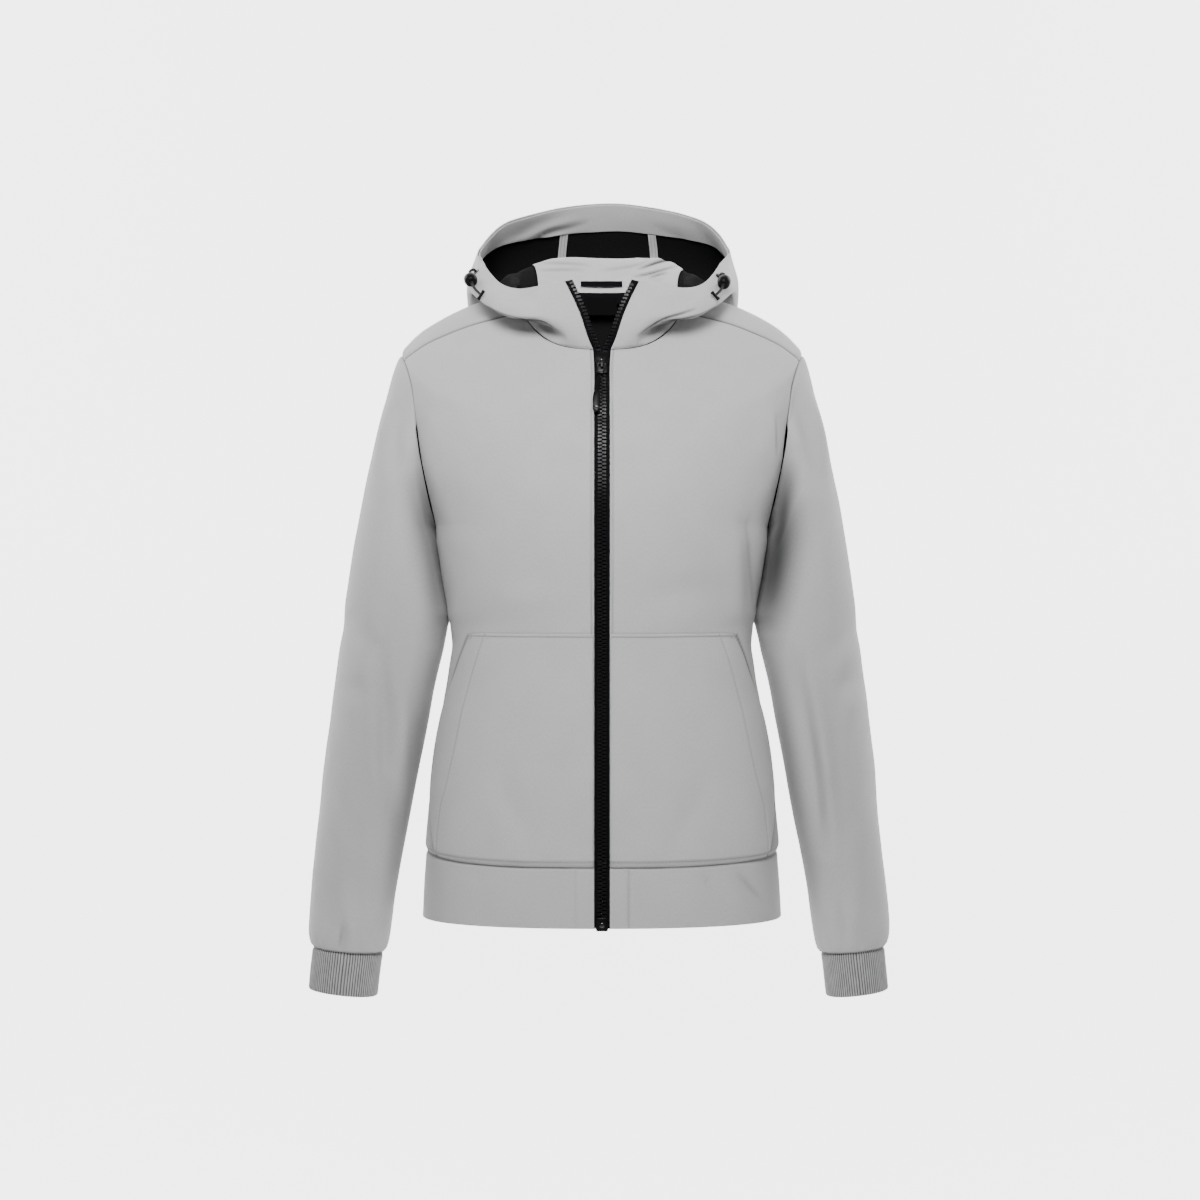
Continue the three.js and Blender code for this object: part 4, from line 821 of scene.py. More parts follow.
def cut_edge(distance, wall):
    """How far a turned or cut edge rounds off on each side of the cloth."""
    r = wall / 2
    d = np.clip(distance, 0, r)
    return r - np.sqrt(np.maximum(r * r - (r - d) ** 2, 0))


SEAM_SHADE = 0.72
STITCH_SHADE = 0.42


def cloth(name, points, normals, inward, wall, ring=False, sewn=(), free=(), rows_of_stitches=(),
          edge_material=0, shade_mask=None, turned=None, both=False):
    """A sheet between its displaced outer points and its inner side. sewn edges roll in and get painted
    shade, free edges round off, and rows of stitches run at a distance from an edge with painted shade
    along them. Edges are first_column, last_column, first_row, last_row; a distance grid may stand in
    for one. The shade mask given is painted shade as well, turned the inner faces that show the outer cloth."""
    first_c, last_c, first_r, last_r = row_distances(points)
    edges = {"first_column": first_c, "last_column": last_c, "first_row": first_r, "last_row": last_r}
    depth = inward.copy()
    roll, thin = np.zeros_like(depth), np.zeros_like(depth)
    shade = np.zeros_like(depth) if shade_mask is None else shade_mask.copy()
    for edge in sewn:
        edge, strength = (edge, 1.0) if isinstance(edge, str) else edge
        roll = np.maximum(roll, edge_roll(edges[edge]) * (0.35 + 0.65 * strength))
        shade = np.maximum(shade, SEAM_SHADE * strength * np.exp(-(edges[edge] / 1.3) ** 2))
    for edge in free:
        thin = np.maximum(thin, cut_edge(edges[edge], wall) * 0.8)
    for edge, mark in rows_of_stitches:
        distance = edges[edge] if isinstance(edge, str) else edge
        depth += drawn_in(distance, mark)
        shade = np.maximum(shade, STITCH_SHADE * np.exp(-((distance - mark) / 0.8) ** 2))
    roll = np.minimum(roll, wall - 0.3)
    outer = points - normals * (depth + roll + thin)[..., None]
    inner = points - normals * (depth + wall - thin)[..., None]
    return wall_mesh(name, outer, inner, ring, edge_material, shade, turned, both)


# body, at any row and turn
HEIGHTS = np.linspace(0, NECK, 441)
SIDE_Z = body_point(HEIGHTS, 90.0)[..., 2]
ROW_2 = SIDE_Z[HEIGHTS <= HEM_SEAM + 1e-6][-1]


def rows_from_heights(z):
    return np.interp(z, SIDE_Z, HEIGHTS)


def body_inward(points, normals):
    return fold_depth("body", points, normals) - 0.9 * soft_waves(points, 62.0, 1.0) \
        - 0.35 * soft_waves(points, 24.0, 4.0) \
        - side_swell(points, normals, 1) - side_swell(points, normals, -1)


def side_swell(points, normals, side):
    """Cloth of the waist and the sleeve leans together beside the bent arm."""
    z = points[..., 2]
    band = np.clip((z + 338) / 12, 0, 1) * np.clip((-236 - z) / 16, 0, 1)
    return 3.0 * band * np.clip(normals[..., 0] * side * 2 - 0.9, 0, 1)


def near_zip(points):
    """Nought at the zip, where the tape holds the cloth flat, rising to one."""
    t = np.clip((np.abs(points[..., 0]) - 10) / 22, 0, 1)
    return np.where(points[..., 1] < 0, t * t * (3 - 2 * t), 1.0)


def body_surface(row, turn, lift=0.0):
    """Displaced outside of the body with its outward direction."""
    p, n = body_point(row, turn), body_normal(row, turn)
    return p - n * (body_inward(p, n) * near_zip(p) - lift)[..., None], n


def panel_rows(front):
    underarm_z = SIDE_Z[HEIGHTS <= UNDERARM + 1e-6][-1]
    low = lines_between(ROW_2, underarm_z, 333, 3.7, last=False, marks=(HEM_STITCHES,))
    rows, edges = list(rows_from_heights(low)), [90.0] * len(low)
    for step in np.linspace(ARM_STEPS, 0, 52)[1:-1]:
        row, turn = armhole_at(step, front)
        rows.append(float(row))
        edges.append(float(turn))
    for row in lines_between(SHOULDER, NECK, 78, 3.4, first=False):
        rows.append(float(row))
        edges.append(float(shoulder_seam_turn(row)))
    return np.array(rows), np.array(edges)


def front_panel(name, side):
    rows, edge = panel_rows(True)
    start = turn_at(rows, zip_edge_x(read_table(BODY, rows)[:, 2]))
    share = lines_between(0, 1, 246, 2.4, marks=(5.5,))
    turn = start[:, None] + (edge - start)[:, None] * share
    turn = turn if side > 0 else 360 - turn
    row = np.repeat(rows[:, None], len(share), 1)
    p, n = body_point(row, turn), body_normal(row, turn)
    inward = body_inward(p, n) * near_zip(p)
    per_turn = np.linalg.norm(body_point(row, turn + 0.5) - body_point(row, turn - 0.5), axis=-1)
    own = turn if side > 0 else 360 - turn
    beyond = (own - pocket_turn(np.minimum(row, POCKET_TOP))) * per_turn
    # the front lies in the shade of the pocket's open edge, more so on the wearer's left
    beside = np.exp(-((beyond - 2.6) / 2.4) ** 2) * (0.85 if side > 0 else 0.6)
    shelter = np.maximum(np.where(row < POCKET_TOP, beside, 0), line_shade("body", p, n))
    piece = cloth(name, p, n, inward, SHELL_WALL, free=("first_column",), shade_mask=shelter,
                  sewn=("last_column", ("first_row", 0.5), ("last_row", 0.2)),
                  rows_of_stitches=(("first_row", HEM_STITCHES), ("first_column", ZIP_STITCHES)))
    return finish_piece(piece, [softshell, softshell_inside], name)


def back_panel():
    rows, edge = panel_rows(False)
    share = lines_between(0, 1, 530, 4.2)
    turn = edge[:, None] + (360 - 2 * edge)[:, None] * share
    row = np.repeat(rows[:, None], len(share), 1)
    p, n = body_point(row, turn), body_normal(row, turn)
    piece = cloth("back", p, n, body_inward(p, n), SHELL_WALL,
                  rows_of_stitches=(("first_row", HEM_STITCHES),),
                  sewn=("first_column", "last_column", "first_row", "last_row"))
    return finish_piece(piece, [softshell, softshell_inside], "back")


def hem_inward(points, normals):
    up = np.clip((points[..., 2] + 640) / 62, 0, 1)
    return (fold_depth("hem", points, normals) - 0.6 * soft_waves(points, 30.0, 7.0)) * (0.35 + 0.65 * up)


def hem_piece(name, turns, free, sewn):
    z = lines_between(0, 1, 67, 3.2)
    rows = np.interp(z, np.linspace(0, 1, 41), rows_from_heights(np.linspace(SIDE_Z[0], ROW_2, 41)))
    turn = np.stack([turns(r) for r in rows])
    row = np.repeat(rows[:, None], turn.shape[1], 1)
    p, n = body_point(row, turn), body_normal(row, turn)
    inward = hem_inward(p, n) * near_zip(p)
    piece = cloth(name, p, n, inward, BAND_WALL, sewn=tuple(sewn) + (("last_row", 0.6),),
                  free=tuple(free) + ("first_row",), shade_mask=line_shade("hem", p, n))
    return finish_piece(piece, [softshell, softshell], name)


def make_body():
    front_panel("front_left", 1)
    front_panel("front_right", -1)
    back_panel()

    def band_turns(row):
        start = float(turn_at(row, TAB_EDGE))
        return start + (360 - 2 * start) * lines_between(0, 1, 900, 4.0)

    hem_piece("hem_band", band_turns, (), (("first_column", 0.3), ("last_column", 0.12)))
    for name, side in (("hem_tab_left", 1), ("hem_tab_right", -1)):
        def tab_turns(row, side=side):
            a, b = float(turn_at(row, ZIP_EDGE)), float(turn_at(row, TAB_EDGE))
            t = a + (b - a) * lines_between(0, 1, TAB_EDGE - ZIP_EDGE, 2.4)
            return t if side > 0 else 360 - t
        hem_piece(name, tab_turns, ("first_column",), (("last_column", 0.3 if side > 0 else 0.12),))


# pockets
# row of the body, turn of the pocket's open edge
POCKET_EDGE = np.array([
    [2, 64.5], [3, 67], [3.8, 73.5], [4.6, 78], [5.5, 79.5], [6.4, 77], [7.3, 68], [8.22, 57],
])
POCKET_TOP = 8.22
# share of the pocket's width at which the stitches beside its opening run
POCKET_SEAM = 0.9
# height of the stitches beside the slanted opening and how far aside they run
POCKET_STITCH = np.array([
    [-575, 168], [-548, 166], [-520, 161.5], [-498, 155], [-464, 147.5], [-427, 140.5], [-386, 130.5],
    [-346, 118.5], [-330, 114],
])


def stitch_turn(rows):
    z = read_table(BODY, rows)[:, 1]
    return turn_at(rows, np.interp(z, POCKET_STITCH[:, 0], POCKET_STITCH[:, 1]))


def pocket_turn(row):
    at = np.interp(row, POCKET_EDGE[:, 0], np.arange(len(POCKET_EDGE)))
    return read_table(POCKET_EDGE[:, 1], at)


def pocket_lift(row, share):
    up = (row - HEM_SEAM) / (POCKET_TOP - HEM_SEAM)
    return 0.45 + 2.6 * share ** 3 * np.sin(np.pi * np.minimum(1, up * 1.15))


def pocket(name, side):
    z_top = float(body_point(POCKET_TOP, 90.0)[2])
    tall = z_top - ROW_2
    z = lines_between(ROW_2 + 0.6, z_top, tall, 3.6, marks=(HEM_STITCHES, tall - POCKET_TOP_STITCHES))
    rows = rows_from_heights(z)
    start = turn_at(rows, zip_edge_x(read_table(BODY, rows)[:, 2]) + 1.0)
    share = lines_between(0, 1, 200, 3.6, marks=(200 * POCKET_SEAM,))
    edge, seam = pocket_turn(rows), stitch_turn(rows)
    inner = np.clip(share / POCKET_SEAM, 0, 1)
    outer = np.clip((share - POCKET_SEAM) / (1 - POCKET_SEAM), 0, 1)
    turn = start[:, None] + (seam - start)[:, None] * inner + (edge - seam)[:, None] * outer
    lift = pocket_lift(rows[:, None], share[None, :])
    turn = turn if side > 0 else 360 - turn
    row = np.repeat(rows[:, None], len(share), 1)
    p, n = body_point(row, turn), body_normal(row, turn)
    inward = body_inward(p, n) * near_zip(p) - lift - 1.2
    extra = 0.5 * soft_waves(p, 34.0, 11.0 + side) * near_zip(p)
    across = row_distances(p)[0]
    at_seam = np.stack([np.interp(POCKET_SEAM, share, line) for line in across])
    from_seam = np.abs(across - at_seam[:, None])
    inward -= np.maximum(extra, -0.2) * np.clip((at_seam[:, None] - across) / 20, 0, 1)
    stitches = (("last_row", POCKET_TOP_STITCHES), ("first_row", HEM_STITCHES), (from_seam, 0.0))
    piece = cloth(f"pocket_{name}", p, n, inward, POCKET_WALL, shade_mask=line_shade("body", p, n),
                  rows_of_stitches=stitches,
                  free=("last_row", "first_column"),
                  sewn=(("first_row", 0.4), ("last_column", 0.8 if side > 0 else 0.55)))
    return finish_piece(piece, [softshell, softshell_inside], f"pocket_{name}")


# sleeves and cuffs
def sleeve_ring(line, side, k, plain):
    out = line[2] if side > 0 else line[1]
    top = np.array([side * out, line[5], line[0]])
    foot = np.array([side * line[4], line[5], line[3]])
    middle, half = (top + foot) / 2, (top - foot) / 2
    forward = math.radians(CAP_TURN) * max(0, 1 - k / CAP_TURN_RINGS)
    angle = plain + forward * (1 + np.cos(plain)) / 2
    c, s = np.cos(angle), np.sin(angle)
    c, s = np.sign(c) * np.abs(c) ** 0.92, np.sign(s) * np.abs(s) ** 0.92
    return middle + c[:, None] * half + np.stack([0 * s, -s * line[6], 0 * s], -1)


def facing_out(points, normals):
    away = points - points.mean(1, keepdims=True)
    return normals if np.sum(away * normals) > 0 else -normals


def sleeve_grid(side, around):
    steps = np.arange(around) * 2 * ARM_STEPS / around
    front = steps <= ARM_STEPS
    row, turn = armhole_at(np.where(front, steps, 2 * ARM_STEPS - steps), front)
    turn = turn if side > 0 else 360 - turn
    loop, seam_normals = body_point(row, turn), body_normal(row, turn)
    up = (1 + np.cos(np.pi * steps / ARM_STEPS)) / 2
    loop[:, 0] += side * 0.3
    loop[:, 2] -= 0.3 * up * up
    rings = [loop]
    for k, line in enumerate(SLEEVE):
        rings.append(loop + (sleeve_ring(line, side, k, np.pi * steps / ARM_STEPS) - loop) * line[7])
    rings = np.array(rings)
    lengths = np.linalg.norm(np.diff(rings[:, 0], axis=0), axis=-1)
    at = []
    for k, length in enumerate(lengths):
        if k == 0:
            part = lines_between(0, 1, length, 3.6, last=False)
        elif k == len(lengths) - 1:
            part = lines_between(0, 1, length, 3.6, first=False)
        else:
            part = np.linspace(0, 1, max(2, int(round(length / 3.7))) + 1)
        at += list(k + np.asarray(part)[:-1])
    at.append(len(lengths))
    points = read_table(rings, np.array(at))
    normals = facing_out(points, grid_normals(points, True))
    first = row_distances(points)[2]
    own = normals[0]
    share = np.clip((np.sum(seam_normals * own, -1) + 0.2) / 0.5, 0, 1)
    blend = share[None, :] * np.exp(-(first / 6) ** 2)
    normals = unit(normals + (seam_normals[None] - normals) * blend[..., None])
    return points, normals


def sleeve_inward(name, side, points, normals):
    """Folds and waves of a sleeve, quiet at its ends, where its hem is gathered onto the rib."""
    seed = 2.0 if side > 0 else 5.5
    first, last = row_distances(points)[2:]
    inward = fold_depth(name, points, normals) - 0.9 * soft_waves(points, 44.0, seed) \
        - 0.3 * soft_waves(points, 18.0, seed + 3)
    inward = inward * np.clip(first / 16, 0, 1) * np.clip(0.25 + last / 30, 0, 1)
    angle = np.arange(points.shape[1]) * TAU / points.shape[1]
    gather = 0.5 * np.cos(17 * angle + side) + 0.35 * np.cos(29 * angle + 1.3)
    return inward + gather * np.exp(-((last - 5) / 9) ** 2) * 0.7


SLEEVE_COLUMNS = 116


def sleeve(name, side):
    points, normals = sleeve_grid(side, SLEEVE_COLUMNS)
    inward = sleeve_inward(name, side, points, normals) - side_swell(points, normals, -side)
    # painted shade beside the body and broadly down the sleeve
    shade = line_shade(name, points, normals + np.array([0, -0.3, 0]))
    piece = cloth(name, points, normals, inward, SHELL_WALL, ring=True, sewn=("first_row", "last_row"),
                  shade_mask=shade)
    return finish_piece(piece, [softshell, softshell_inside], name)


RIBS = 84


def cuff(name, side):
    columns = RIBS * 5
    plain = np.arange(columns) * TAU / columns
    rings = np.array([sleeve_ring(line, side, CAP_TURN_RINGS, plain) for line in CUFF])
    places = np.linspace(0, 3, 16)
    places = np.concatenate([[0, 0.04, 0.12], places[1:-1], [2.95, 2.985, 3]])
    points = read_table(rings, places)
    normals = facing_out(points, grid_normals(points, True))
    first, last = row_distances(points)[2:]
    rib = np.tile([0.25, -0.3, -0.5, -0.3, 0.25], RIBS)[None, :] * np.ones_like(first)
    rib = rib * np.clip(first / 3, 0.1, 1) * np.clip(0.35 + last / 2.4, 0, 1)
    inward = rib + 0.45 - 0.5 * soft_waves(points, 30.0, 3.0 + side) * np.clip(first / 12, 0, 1)
    piece = cloth(name, points, normals, inward, CUFF_WALL, ring=True, sewn=("first_row",),
                  free=("last_row",))
    # painted shade: the colour is darkest in the grooves between the ribs
    height = np.tile([0.0, 0.7, 1.0, 0.7, 0.0], RIBS * points.shape[0])
    store = piece.data.attributes.new("rib_height", "FLOAT", "POINT")
    store.data.foreach_set("value", np.concatenate([height, height]).astype(np.float32))
    return finish_piece(piece, [rib_knit, rib_knit], name)


# hood
# turns at which the centre panel's seam and the neck's two edges lie
SPLIT = 66 + 8 * (360 - 132) / 18
NECK_START = float(turn_at(NECK, ZIP_EDGE + ZIP_PART_SPREAD))


def over_shoulder(turn, ramp):
    """One where the hood's lower bank lies over a shoulder, nought at the zip and at the back."""
    own = np.minimum(turn, 360 - turn)
    return np.clip((own - 24) / ramp, 0, 1) * np.clip((112 - own) / 14, 0, 1)


def tuck(turn, up):
    """The hood's lower bank turns in sharply where it lies over the shoulder and the neck seam."""
    turned_in = 4.2 * np.exp(-((up - 0.15) / 0.085) ** 2)
    stands_out = 1.6 * np.exp(-((up - 0.38) / 0.07) ** 2)
    return (turned_in - stands_out) * over_shoulder(turn, 16)


def hood_inward(points, normals, up):
    fade = np.clip(up / 0.05, 0, 1)
    if points[..., 1].mean() < 0:
        fade = fade * np.clip((np.abs(points[..., 0]) - 6) / 20, 0, 1)
    wave = 0.8 * soft_waves(points, 36.0, 9.0) + 0.35 * soft_waves(points, 16.0, 2.0)
    near_edge = np.clip((points[..., 1] + 60) / 40, 0.2, 1)
    return (fold_depth("hood", points, normals) - wave * near_edge) * fade


def hood_panel(name, start, stop, width, sewn, free=()):
    up = lines_between(0, 1, 470, 3.8)
    share = lines_between(0, 1, width, 3.9)
    turn = start + (stop - start) * share
    turn, up = np.meshgrid(turn, up)
    p, n = hood_point(turn, up), hood_normal(turn, up)
    creases = line_shade("hood", p, n)
    bank = over_shoulder(turn, 14) * np.clip((0.5 - n[..., 1]) / 0.3, 0, 1) * np.clip(up / 0.08, 0, 1)
    # the underside of the bank is lifted off the shoulder and lies in shade
    lifted = 6.5 * bank * np.clip((-n[..., 2] - 0.1) / 0.6, 0, 1)
    under = 0.9 * bank * np.clip((-n[..., 2] - 0.5) / 0.35, 0, 1)
    rim = line_shade("facing", p, n) * np.clip((up - 0.5) / 0.1, 0, 1)
    inward = hood_inward(p, n, up) + tuck(turn, up) + 2.6 * creases + lifted
    shade = np.maximum(np.maximum(creases, rim), under)
    piece = cloth(name, p, n, inward, SHELL_WALL, sewn=tuple(sewn) + (("first_row", 0.3),),
                  free=tuple(free) + ("last_row",), shade_mask=shade, turned=(up > 0.985).astype(float))
    return finish_piece(piece, [softshell, softshell_inside], name)


ALL_EDGES = ("first_column", "last_column", "first_row", "last_row")


def swollen(kind, points, rise, wave):
    """How far cloth stands up on both sides of its creases, with a little unevenness."""
    swell = np.zeros(points.shape[:-1])
    for _, strength, width, line in SHADE_LINES[kind]:
        d, _, along = line_distance(points[..., 0], points[..., 2], line)
        ends = np.sin(np.pi * np.clip(along, 0.03, 0.97)) * min(1, strength * 1.6)
        swell = np.maximum(swell, np.exp(-((d - 2.2 * width) / (1.8 * width)) ** 2) * ends)
        swell = swell * (1 - 0.9 * np.exp(-(d / width) ** 2) * ends)
    return rise * swell + 0.5 + wave * soft_waves(points, 22.0, 8.0)


def hood_lining(name, kind, turns, ups, depth, rise, wave):
    """A lining inside the hood: the shell cloth painted lighter as painted light, with painted shade along
    the creases of its kind.
    """
    turn, up = np.meshgrid(turns, ups)
    p, n = hood_point(turn, up), hood_normal(turn, up)
    inward = hood_inward(p, n, up) + depth + swollen(kind, p, rise, wave)
    # its seen side faces the other way, and the light comes from above the front
    shade = np.minimum(1, 1.35 * line_shade(kind, p, -n + np.array([0, -0.45, 0])))
    piece = cloth(name, p, n, inward, LINING_WALL, free=ALL_EDGES, shade_mask=shade, both=True)
    return finish_piece(piece, [softshell_painted_lighter, softshell_painted_lighter], name)


def hood_seam_tape(name, centre):
    """A narrow tape over a seam inside the hood, held by two rows of stitches."""
    half, row, reach = 4.4, 1.9, 0.35
    across = np.array([-half, -4.0, -3.0, -2.2, -row, -1.6, -0.8, 0, 0.8, 1.6, row, 2.2, 3.0, 4.0, half])
    up = lines_between(0.16, 0.9349, 365, 3.2)
    per_turn = np.linalg.norm(hood_point(centre + 0.5, up) - hood_point(centre - 0.5, up), axis=-1)
    turn = centre + across[None, :] / per_turn[:, None]
    up = np.repeat(up[:, None], len(across), 1)
    p, n = hood_point(turn, up), hood_normal(turn, up)
    groove = 0.5 * np.exp(-((np.abs(across) - row) / reach) ** 2)[None, :]
    inward = hood_inward(p, n, up) + 2.3 - groove
    # painted shade along the two rows of stitches
    piece = cloth(name, p, n, inward, SEAM_TAPE_WALL, free=ALL_EDGES, shade_mask=np.zeros_like(up) + groove,
                  both=True)
    return finish_piece(piece, [seam_tape, seam_tape], name)


def make_hood():
    hood_panel("hood_side_left", NECK_START, SPLIT, 400, ("last_column",), ("first_column",))
    hood_panel("hood_centre", SPLIT, 360 - SPLIT, 90, ("first_column", "last_column"))
    hood_panel("hood_side_right", 360 - SPLIT, 360 - NECK_START, 400, ("first_column",), ("last_column",))
    start = NECK_START + 3 * (52.75 - NECK_START) / 7
    turns, ups = lines_between(start, 360 - start, 560, 2.6), lines_between(FACING_FROM, 0.9985, 30, 1.6)
    hood_lining("hood_facing", "facing", turns, ups, 1.75, 2.2, 0.6)
    turns, ups = lines_between(116.67, 230.67, 210, 2.4), lines_between(0.0031, 0.156, 40, 1.3)
    hood_lining("hood_band", "band", turns, ups, 1.9, 1.8, 0.7)
    hood_seam_tape("hood_tape_left", SPLIT)
    hood_seam_tape("hood_tape_right", 360 - SPLIT)


def neck_strip(name, turns, low, high, depth, wall, bow, materials):
    z = lines_between(low, high, high - low, 1.6)
    p = hood_point(turns, 0.0)
    q = unit(np.stack([p[:, 0], p[:, 1] + 8, 0 * p[:, 0]], -1))
    lift = bow * np.sin(np.pi * np.arange(len(turns)) / (len(turns) - 1))
    base = p - q * (depth + lift)[:, None]
    points = np.repeat(base[None], len(z), 0)
    points[..., 2] = z[:, None]
    normals = np.repeat(q[None], len(z), 0)
    piece = cloth(name, points, normals, np.zeros(points.shape[:2]), wall, free=ALL_EDGES)
    return finish_piece(piece, materials, name)


def make_neck():
    neck_in = 3.7
    neck_strip("neck_tape", np.linspace(114, 246, 90), 2, 14, neck_in, 0.8, 0, [tape_cloth, tape_cloth])
    neck_strip("hanger_loop", np.linspace(166, 194.6, 30), 21, 26.6, neck_in - 3.3, 0.8, 2.2,
               [tape_cloth, tape_cloth])
    neck_strip("label", np.linspace(169, 193, 24), -10, 9, neck_in + 1.15, 0.6, 0,
               [label_cloth, label_cloth])


# zip
def zip_path(side):
    """Points up the cloth's edge beside the zip, with the way out and the way to the zip."""
    z = np.linspace(SIDE_Z[0], ROW_2, 24)
    hem_rows = rows_from_heights(z)[:-1]
    rows = np.concatenate([hem_rows, panel_rows(True)[0]])
    edge = np.where(rows < HEM_SEAM, ZIP_EDGE, zip_edge_x(read_table(BODY, rows)[:, 2]))
    turn = turn_at(rows, edge)
    beyond = turn_at(rows, edge + 4)
    sided = (lambda t: t) if side > 0 else (lambda t: 360 - t)
    p, away, n = (body_point(rows, sided(turn)), body_point(rows, sided(beyond)),
                  body_normal(rows, sided(turn)))
    up = np.linspace(0, 1, 42)[1:]
    start = sided(NECK_START)
    p = np.concatenate([p, hood_point(np.full(41, start), up)])
    away = np.concatenate([away, hood_point(np.full(41, sided(NECK_START + 3.0)), up)])
    n = np.concatenate([n, hood_normal(np.full(41, start), up)])
    return p, n, unit(p - away)


def along_path(path, pitch, start, stop):
    p, n, w = path
    length = length_along(p)
    at = np.arange(start, stop, pitch)
    pick = [np.stack([np.interp(at, length, v[:, k]) for k in range(3)], -1) for v in (p, n, w)]
    return pick[0], unit(pick[1]), unit(pick[2])


def boxes_mesh(name, centres, frames, profile, faces):
    """One small shape repeated at many places: frames are three directions for each place."""
    profile = np.asarray(profile, float)
    points = centres[:, None, :] + np.einsum("kj,njc->nkc", profile, frames)
    count = len(profile)
    vertices = points.reshape(-1, 3) * MM
    all_faces = []
    for i in range(len(centres)):
        all_faces += [[v + i * count for v in f] for f in faces]
    mesh = bpy.data.meshes.new(name)
    mesh.from_pydata(vertices.tolist(), [], all_faces)
    mesh.validate()
    return add_object(name, mesh, 35)


def rounded_block(wide, deep, tall, bevel):
    """A small block with its four long edges cut: points and faces."""
    x, y, z, b = wide / 2, deep / 2, tall / 2, bevel
    ring = [(-x + b, -y), (x - b, -y), (x, -y + b), (x, y - b), (x - b, y), (-x + b, y),
            (-x, y - b), (-x, -y + b)]
    points = [(u, v, -z) for u, v in ring] + [(u, v, z) for u, v in ring]
    faces = [list(range(8))[::-1], list(range(8, 16))]
    faces += [[k, (k + 1) % 8, (k + 1) % 8 + 8, k + 8] for k in range(8)]
    return points, faces


TEETH_PITCH = 3.8


def make_zip():
    for name, side in (("left", 1), ("right", -1)):
        path = zip_path(side)
        p, n, w = path
        across = np.array([TAPE_SHOWN - TAPE_WIDTH, -3.0, -0.4, 1.5, 3.2, 4.4, 5.2, 6.4, TAPE_SHOWN])
        rise = np.array([0, 0, 0, 0.1, 0.12, 0.1, 0.35, 0.6, 0.5])
        outer = p[:, None] + w[:, None] * across[:, None] - n[:, None] * (TAPE_DEPTH - rise)[:, None]
        inner = p[:, None] + w[:, None] * across[:, None] - n[:, None] * (TAPE_DEPTH + ZIP_TAPE_WALL)
        tape = wall_mesh(f"zip_tape_{name}", outer, inner)
        finish_piece(tape, [tape_cloth, tape_cloth], f"zip_tape_{name}")
        # moulded teeth: a head towards the other row and a foot on the tape, side rows offset by half
        start = 12.4 + (0 if side > 0 else TEETH_PITCH / 2)
        c, out, way = along_path(path, TEETH_PITCH, start, length_along(p)[-1] - 2.5)
        up = unit(np.cross(out, way) * (1 if side > 0 else -1))
        up = np.where(up[:, 2:3] < -0.2, -up, up)
        frames = np.stack([way, out, up], 1)
        head, head_faces = rounded_block(2.5, 2.0, 1.75, 0.45)
        foot, foot_faces = rounded_block(2.6, 1.5, 2.3, 0.4)
        shapes = [(q[0] + TAPE_SHOWN - 0.95, q[1] - 1.3, q[2]) for q in head]
        shapes += [(q[0] + TAPE_SHOWN - 3.0, q[1] - 1.45, q[2]) for q in foot]
        faces = head_faces + [[v + len(head) for v in f] for f in foot_faces]
        teeth = boxes_mesh(f"zip_teeth_{name}", c, frames, shapes, faces)
        finish_piece(teeth, [moulded], f"zip_teeth_{name}")


def softened_copy(node, width, material, body="garment"):
    """The solid's own shape with its edges rounded."""
    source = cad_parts[node]
    mesh = source.data.copy()
    mesh.materials.clear()
    b = bmesh.new()
    b.from_mesh(mesh)
    bmesh.ops.remove_doubles(b, verts=b.verts, dist=2e-6)
    bmesh.ops.dissolve_limit(b, angle_limit=math.radians(2), verts=b.verts, edges=b.edges)
    b.to_mesh(mesh)
    b.free()
    piece = bpy.data.objects.new(f"{node}_finished", mesh)
    stage_collection.objects.link(piece)
    bevel = piece.modifiers.new("rounded", "BEVEL")
    bevel.width = width * MM
    bevel.segments = 2
    bevel.limit_method = "ANGLE"
    bevel.angle_limit = math.radians(25)
    bpy.ops.object.select_all(action="DESELECT")
    piece.select_set(True)
    bpy.context.view_layer.objects.active = piece
    bpy.ops.object.modifier_apply(modifier="rounded")
    bpy.ops.object.shade_smooth_by_angle(angle=math.radians(40))
    piece.select_set(False)
    return finish_piece(piece, [material], node, body)


def make_pull():
    softened_copy("zip_slider", 0.35, glossy_moulded)
    softened_copy("pull_link", 0.3, glossy_moulded, "pull")
    softened_copy("pull_strap", 0.3, tape_cloth, "pull")
    softened_copy("pull_grip", 0.8, glossy_moulded, "pull")
    softened_copy("zip_box", 1.5, glossy_moulded)
    boss("slider_boss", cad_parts["zip_slider"], (-0.6, 0.62), (0.9, 0.7, 2.2), "garment")
    boss("grip_boss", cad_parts["pull_grip"], (0.0, 0.24), (2.7, 0.9, 1.5), "pull")
    boss("box_boss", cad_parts["zip_box"], (0.0, 0.42), (2.6, 0.7, 2.6), "garment")


def boss(name, node, place, half, body):
    """A low polished dome on the front of a moulded piece: place is across in mm and share of height."""
    points = np.array([v.co for v in node.data.vertices]) / MM
    low, high = points.min(0), points.max(0)
    z = low[2] + (high[2] - low[2]) * place[1]
    # the front face's depth at that height, between its lowest and highest corners
    tops, feet = points[points[:, 2] > z], points[points[:, 2] <= z]
    a, b = tops[tops[:, 1].argmin()], feet[feet[:, 1].argmin()]
    depth = a[1] + (b[1] - a[1]) * (a[2] - z) / max(a[2] - b[2], 1e-6)
    middle = np.array([(low[0] + high[0]) / 2 + place[0], depth + 0.15, z])
    bpy.ops.object.select_all(action="DESELECT")
    bpy.ops.mesh.primitive_uv_sphere_add(segments=24, ring_count=14, radius=1)
    piece = bpy.context.object
    piece.name = name
    for v in piece.data.vertices:
        v.co = Vector(((v.co * Vector(half)) + Vector(middle)) * MM)
    piece.data.name = name
    bpy.ops.object.shade_smooth_by_angle(angle=math.radians(60))
    piece.select_set(False)
    return finish_piece(piece, [polished_boss], None, body)


# stitching
STITCH = 2.7
STITCH_GAP = 0.7
